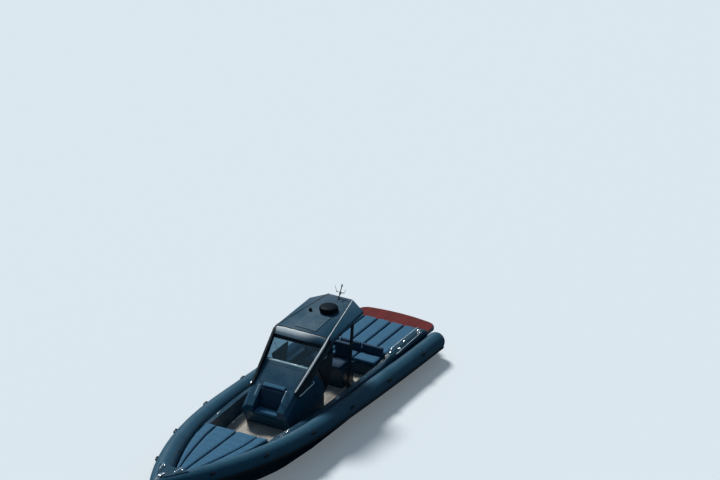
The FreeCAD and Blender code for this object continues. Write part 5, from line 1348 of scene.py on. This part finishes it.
for sewn_body in ("boat", "hatch"):
    sewn_lines("edge_piping_" + sewn_body, sewn_body, -0.006, 0.006, PIPING, False,
               {"Spacing": 0.012, "Thickness": 0.0042})
    sewn_lines("seam_stitches_" + sewn_body, sewn_body, 0.020, 0.02, THREAD, True,
               {"Spacing": 0.020, "Length": 0.011, "Thickness": 0.0024})

# Small fittings


def inflation_valves():
    """Inflation valve on the inboard side of each air chamber."""
    angle = math.radians(152)
    profile = [(0.034, -0.004), (0.034, 0.003), (0.030, 0.006), (0.022, 0.006), (0.020, 0.011),
               (0.012, 0.014), (0.0, 0.014)]
    bm = bmesh.new()
    for x in CHAMBER_MIDDLES:
        i = nearest(x)
        _, out, up = TUBE_WAYS[i]
        way = out * math.cos(angle) + up * math.sin(angle)
        turned(bm, profile, TUBE_PATH[i] + way * TUBE_RADIUS, way, 28)
    mirrored(bm)
    piece_of("inflation_valves", bm, BLACK, "boat", corner=40)


def cleat(bm, at, along):
    """Two posts on a base and a horned bar over them."""
    for s in (-0.035, 0.035):
        bar(bm, [at + along * s - UP * 0.004, at + along * s + UP * 0.030], [0.010, 0.008], 14, False)
        turned(bm, [(0.018, -0.004), (0.018, 0.003), (0.012, 0.006), (0.0, 0.006)], at + along * s, steps=20)
    horns = [(-0.105, 0.004, 0.040), (-0.09, 0.0065, 0.039), (-0.04, 0.009, 0.034), (0.0, 0.0095, 0.034),
             (0.04, 0.009, 0.034), (0.09, 0.0065, 0.039), (0.105, 0.004, 0.040)]
    bar(bm, [at + along * s + UP * z for s, _, z in horns], [radius for _, radius, _ in horns], 14)


def surface_below(node, x, y):
    """Point of a solid's skin straight under a place that is well over the boat."""
    mesh = frame["nodes"][node].data
    skin = BVHTree.FromPolygons([v.co for v in mesh.vertices], [f.vertices[:] for f in mesh.polygons])
    return skin.ray_cast(Vector((x, y, 3.0)), -UP)[0]


def deck_hardware():
    """On each side a strip along the stern deck, three cleats and a filler cap with its slot."""
    bm = bmesh.new()
    strip = [surface_below("stern_deck", x, 1.205 + 0.02 * (x - 0.8))
             for x in (0.85, 1.05, 1.25, 1.45, 1.65, 1.85, 2.05, 2.25)]
    bar(bm, [p + UP * 0.002 for p in strip if p], 0.009, 10)
    for node, x, y in (("stern_deck", 0.92, 1.16), ("side_decks", 5.2, 1.13), ("side_decks", 7.6, 1.02)):
        at = surface_below(node, x, y)
        if at:
            cleat(bm, at, FORWARD)
    at = surface_below("stern_deck", 2.0, 1.16)
    if at:
        turned(bm, [(0.040, -0.004), (0.040, 0.003), (0.034, 0.005), (0.030, 0.003), (0.0, 0.003)], at,
               steps=36)
        block(bm, (-0.020, -0.003, 0.002), (0.020, 0.003, 0.006), 0.001, 1, Matrix.Translation(at))
    mirrored(bm)
    piece_of("deck_cleats", bm, CHROME, "boat", corner=45)


def side_lights():
    """Red lamp to port and green lamp to starboard, under the hardtop's edges."""
    bodies, lenses = bmesh.new(), {}
    for tag, hand in SIDES:
        at = Vector((4.55, 0.848 * hand, 2.285))
        block(bodies, (-0.045, -0.016, -0.022), (0.045, 0.012, 0.026), 0.008, 3, Matrix.Translation(at))
        lenses[tag] = bmesh.new()
        block(lenses[tag], (-0.010, -0.016, -0.014), (0.040, 0.020, 0.016), 0.006, 3,
              Matrix.Translation(at + Vector((0.008, 0.004 * hand, 0))))
    piece_of("side_light_bodies", bodies, BLACK, "boat", corner=45)
    for tag, glass in (("port", RED_LENS), ("starboard", GREEN_LENS)):
        piece_of(tag + "_side_light", lenses[tag], glass, "boat", corner=45)


inflation_valves()
deck_hardware()
side_lights()

# Floor, background and light


def pale_floor():
    """Wide floor under the boat: pale where the camera sees it, dim in the light that it throws back."""
    pale, dim, glow = (0.66, 0.72, 0.76, 1), (0.10, 0.13, 0.15, 1), 0.14
    bm = bmesh.new()
    bmesh.ops.create_circle(bm, cap_ends=True, radius=300, segments=96)
    mesh = bpy.data.meshes.new("pale_floor")
    bm.to_mesh(mesh)
    bm.free()
    material, tree, shader = finish("pale_floor_paint")
    rays = put(tree, "ShaderNodeLightPath").outputs
    seen = sums(tree, "MAXIMUM", rays["Is Camera Ray"], rays["Is Transmission Ray"])
    tree.links.new(blended(tree, seen, dim, pale), shader.inputs["Base Color"])
    tree.links.new(sums(tree, "MULTIPLY", seen, glow), shader.inputs["Emission Strength"])
    shader.inputs["Emission Color"].default_value = (0.85, 0.95, 1.0, 1)
    shader.inputs["Roughness"].default_value = 0.9
    shader.inputs["Specular IOR Level"].default_value = 0.1
    mesh.materials.append(material)
    floor = bpy.data.objects.new("pale_floor", mesh)
    scene.collection.objects.link(floor)


def soft_sun():
    """Warm sun from over the starboard quarter, with soft edges to its shadows."""
    sun = bpy.data.lights.new("soft_key", "SUN")
    sun.energy, sun.angle, sun.color = 3.5, math.radians(14), (1.0, 0.98, 0.95)
    lamp = bpy.data.objects.new("soft_key", sun)
    lamp.rotation_mode = "QUATERNION"
    lamp.rotation_quaternion = Vector((-0.42, -0.55, 0.72)).to_track_quat("Z", "Y")
    scene.collection.objects.link(lamp)


def surround():
    """World that is pale to the camera, blue in glossy reflections and a dim blue fill to the rest."""
    pale, mirror, fill = (0.82, 0.87, 0.9, 1), (0.16, 0.27, 0.36, 1), (0.085, 0.13, 0.18, 1)
    world = bpy.data.worlds.new("pale_surround")
    world.use_nodes = True
    tree = world.node_tree
    back = tree.nodes["Background"]
    rays = put(tree, "ShaderNodeLightPath").outputs
    light = blended(tree, rays["Is Glossy Ray"], fill, mirror)
    tree.links.new(blended(tree, rays["Is Camera Ray"], light, pale), back.inputs["Color"])
    back.inputs["Strength"].default_value = 1.0
    scene.world = world


pale_floor()
soft_sun()
surround()
scene.view_settings.view_transform = "Standard"
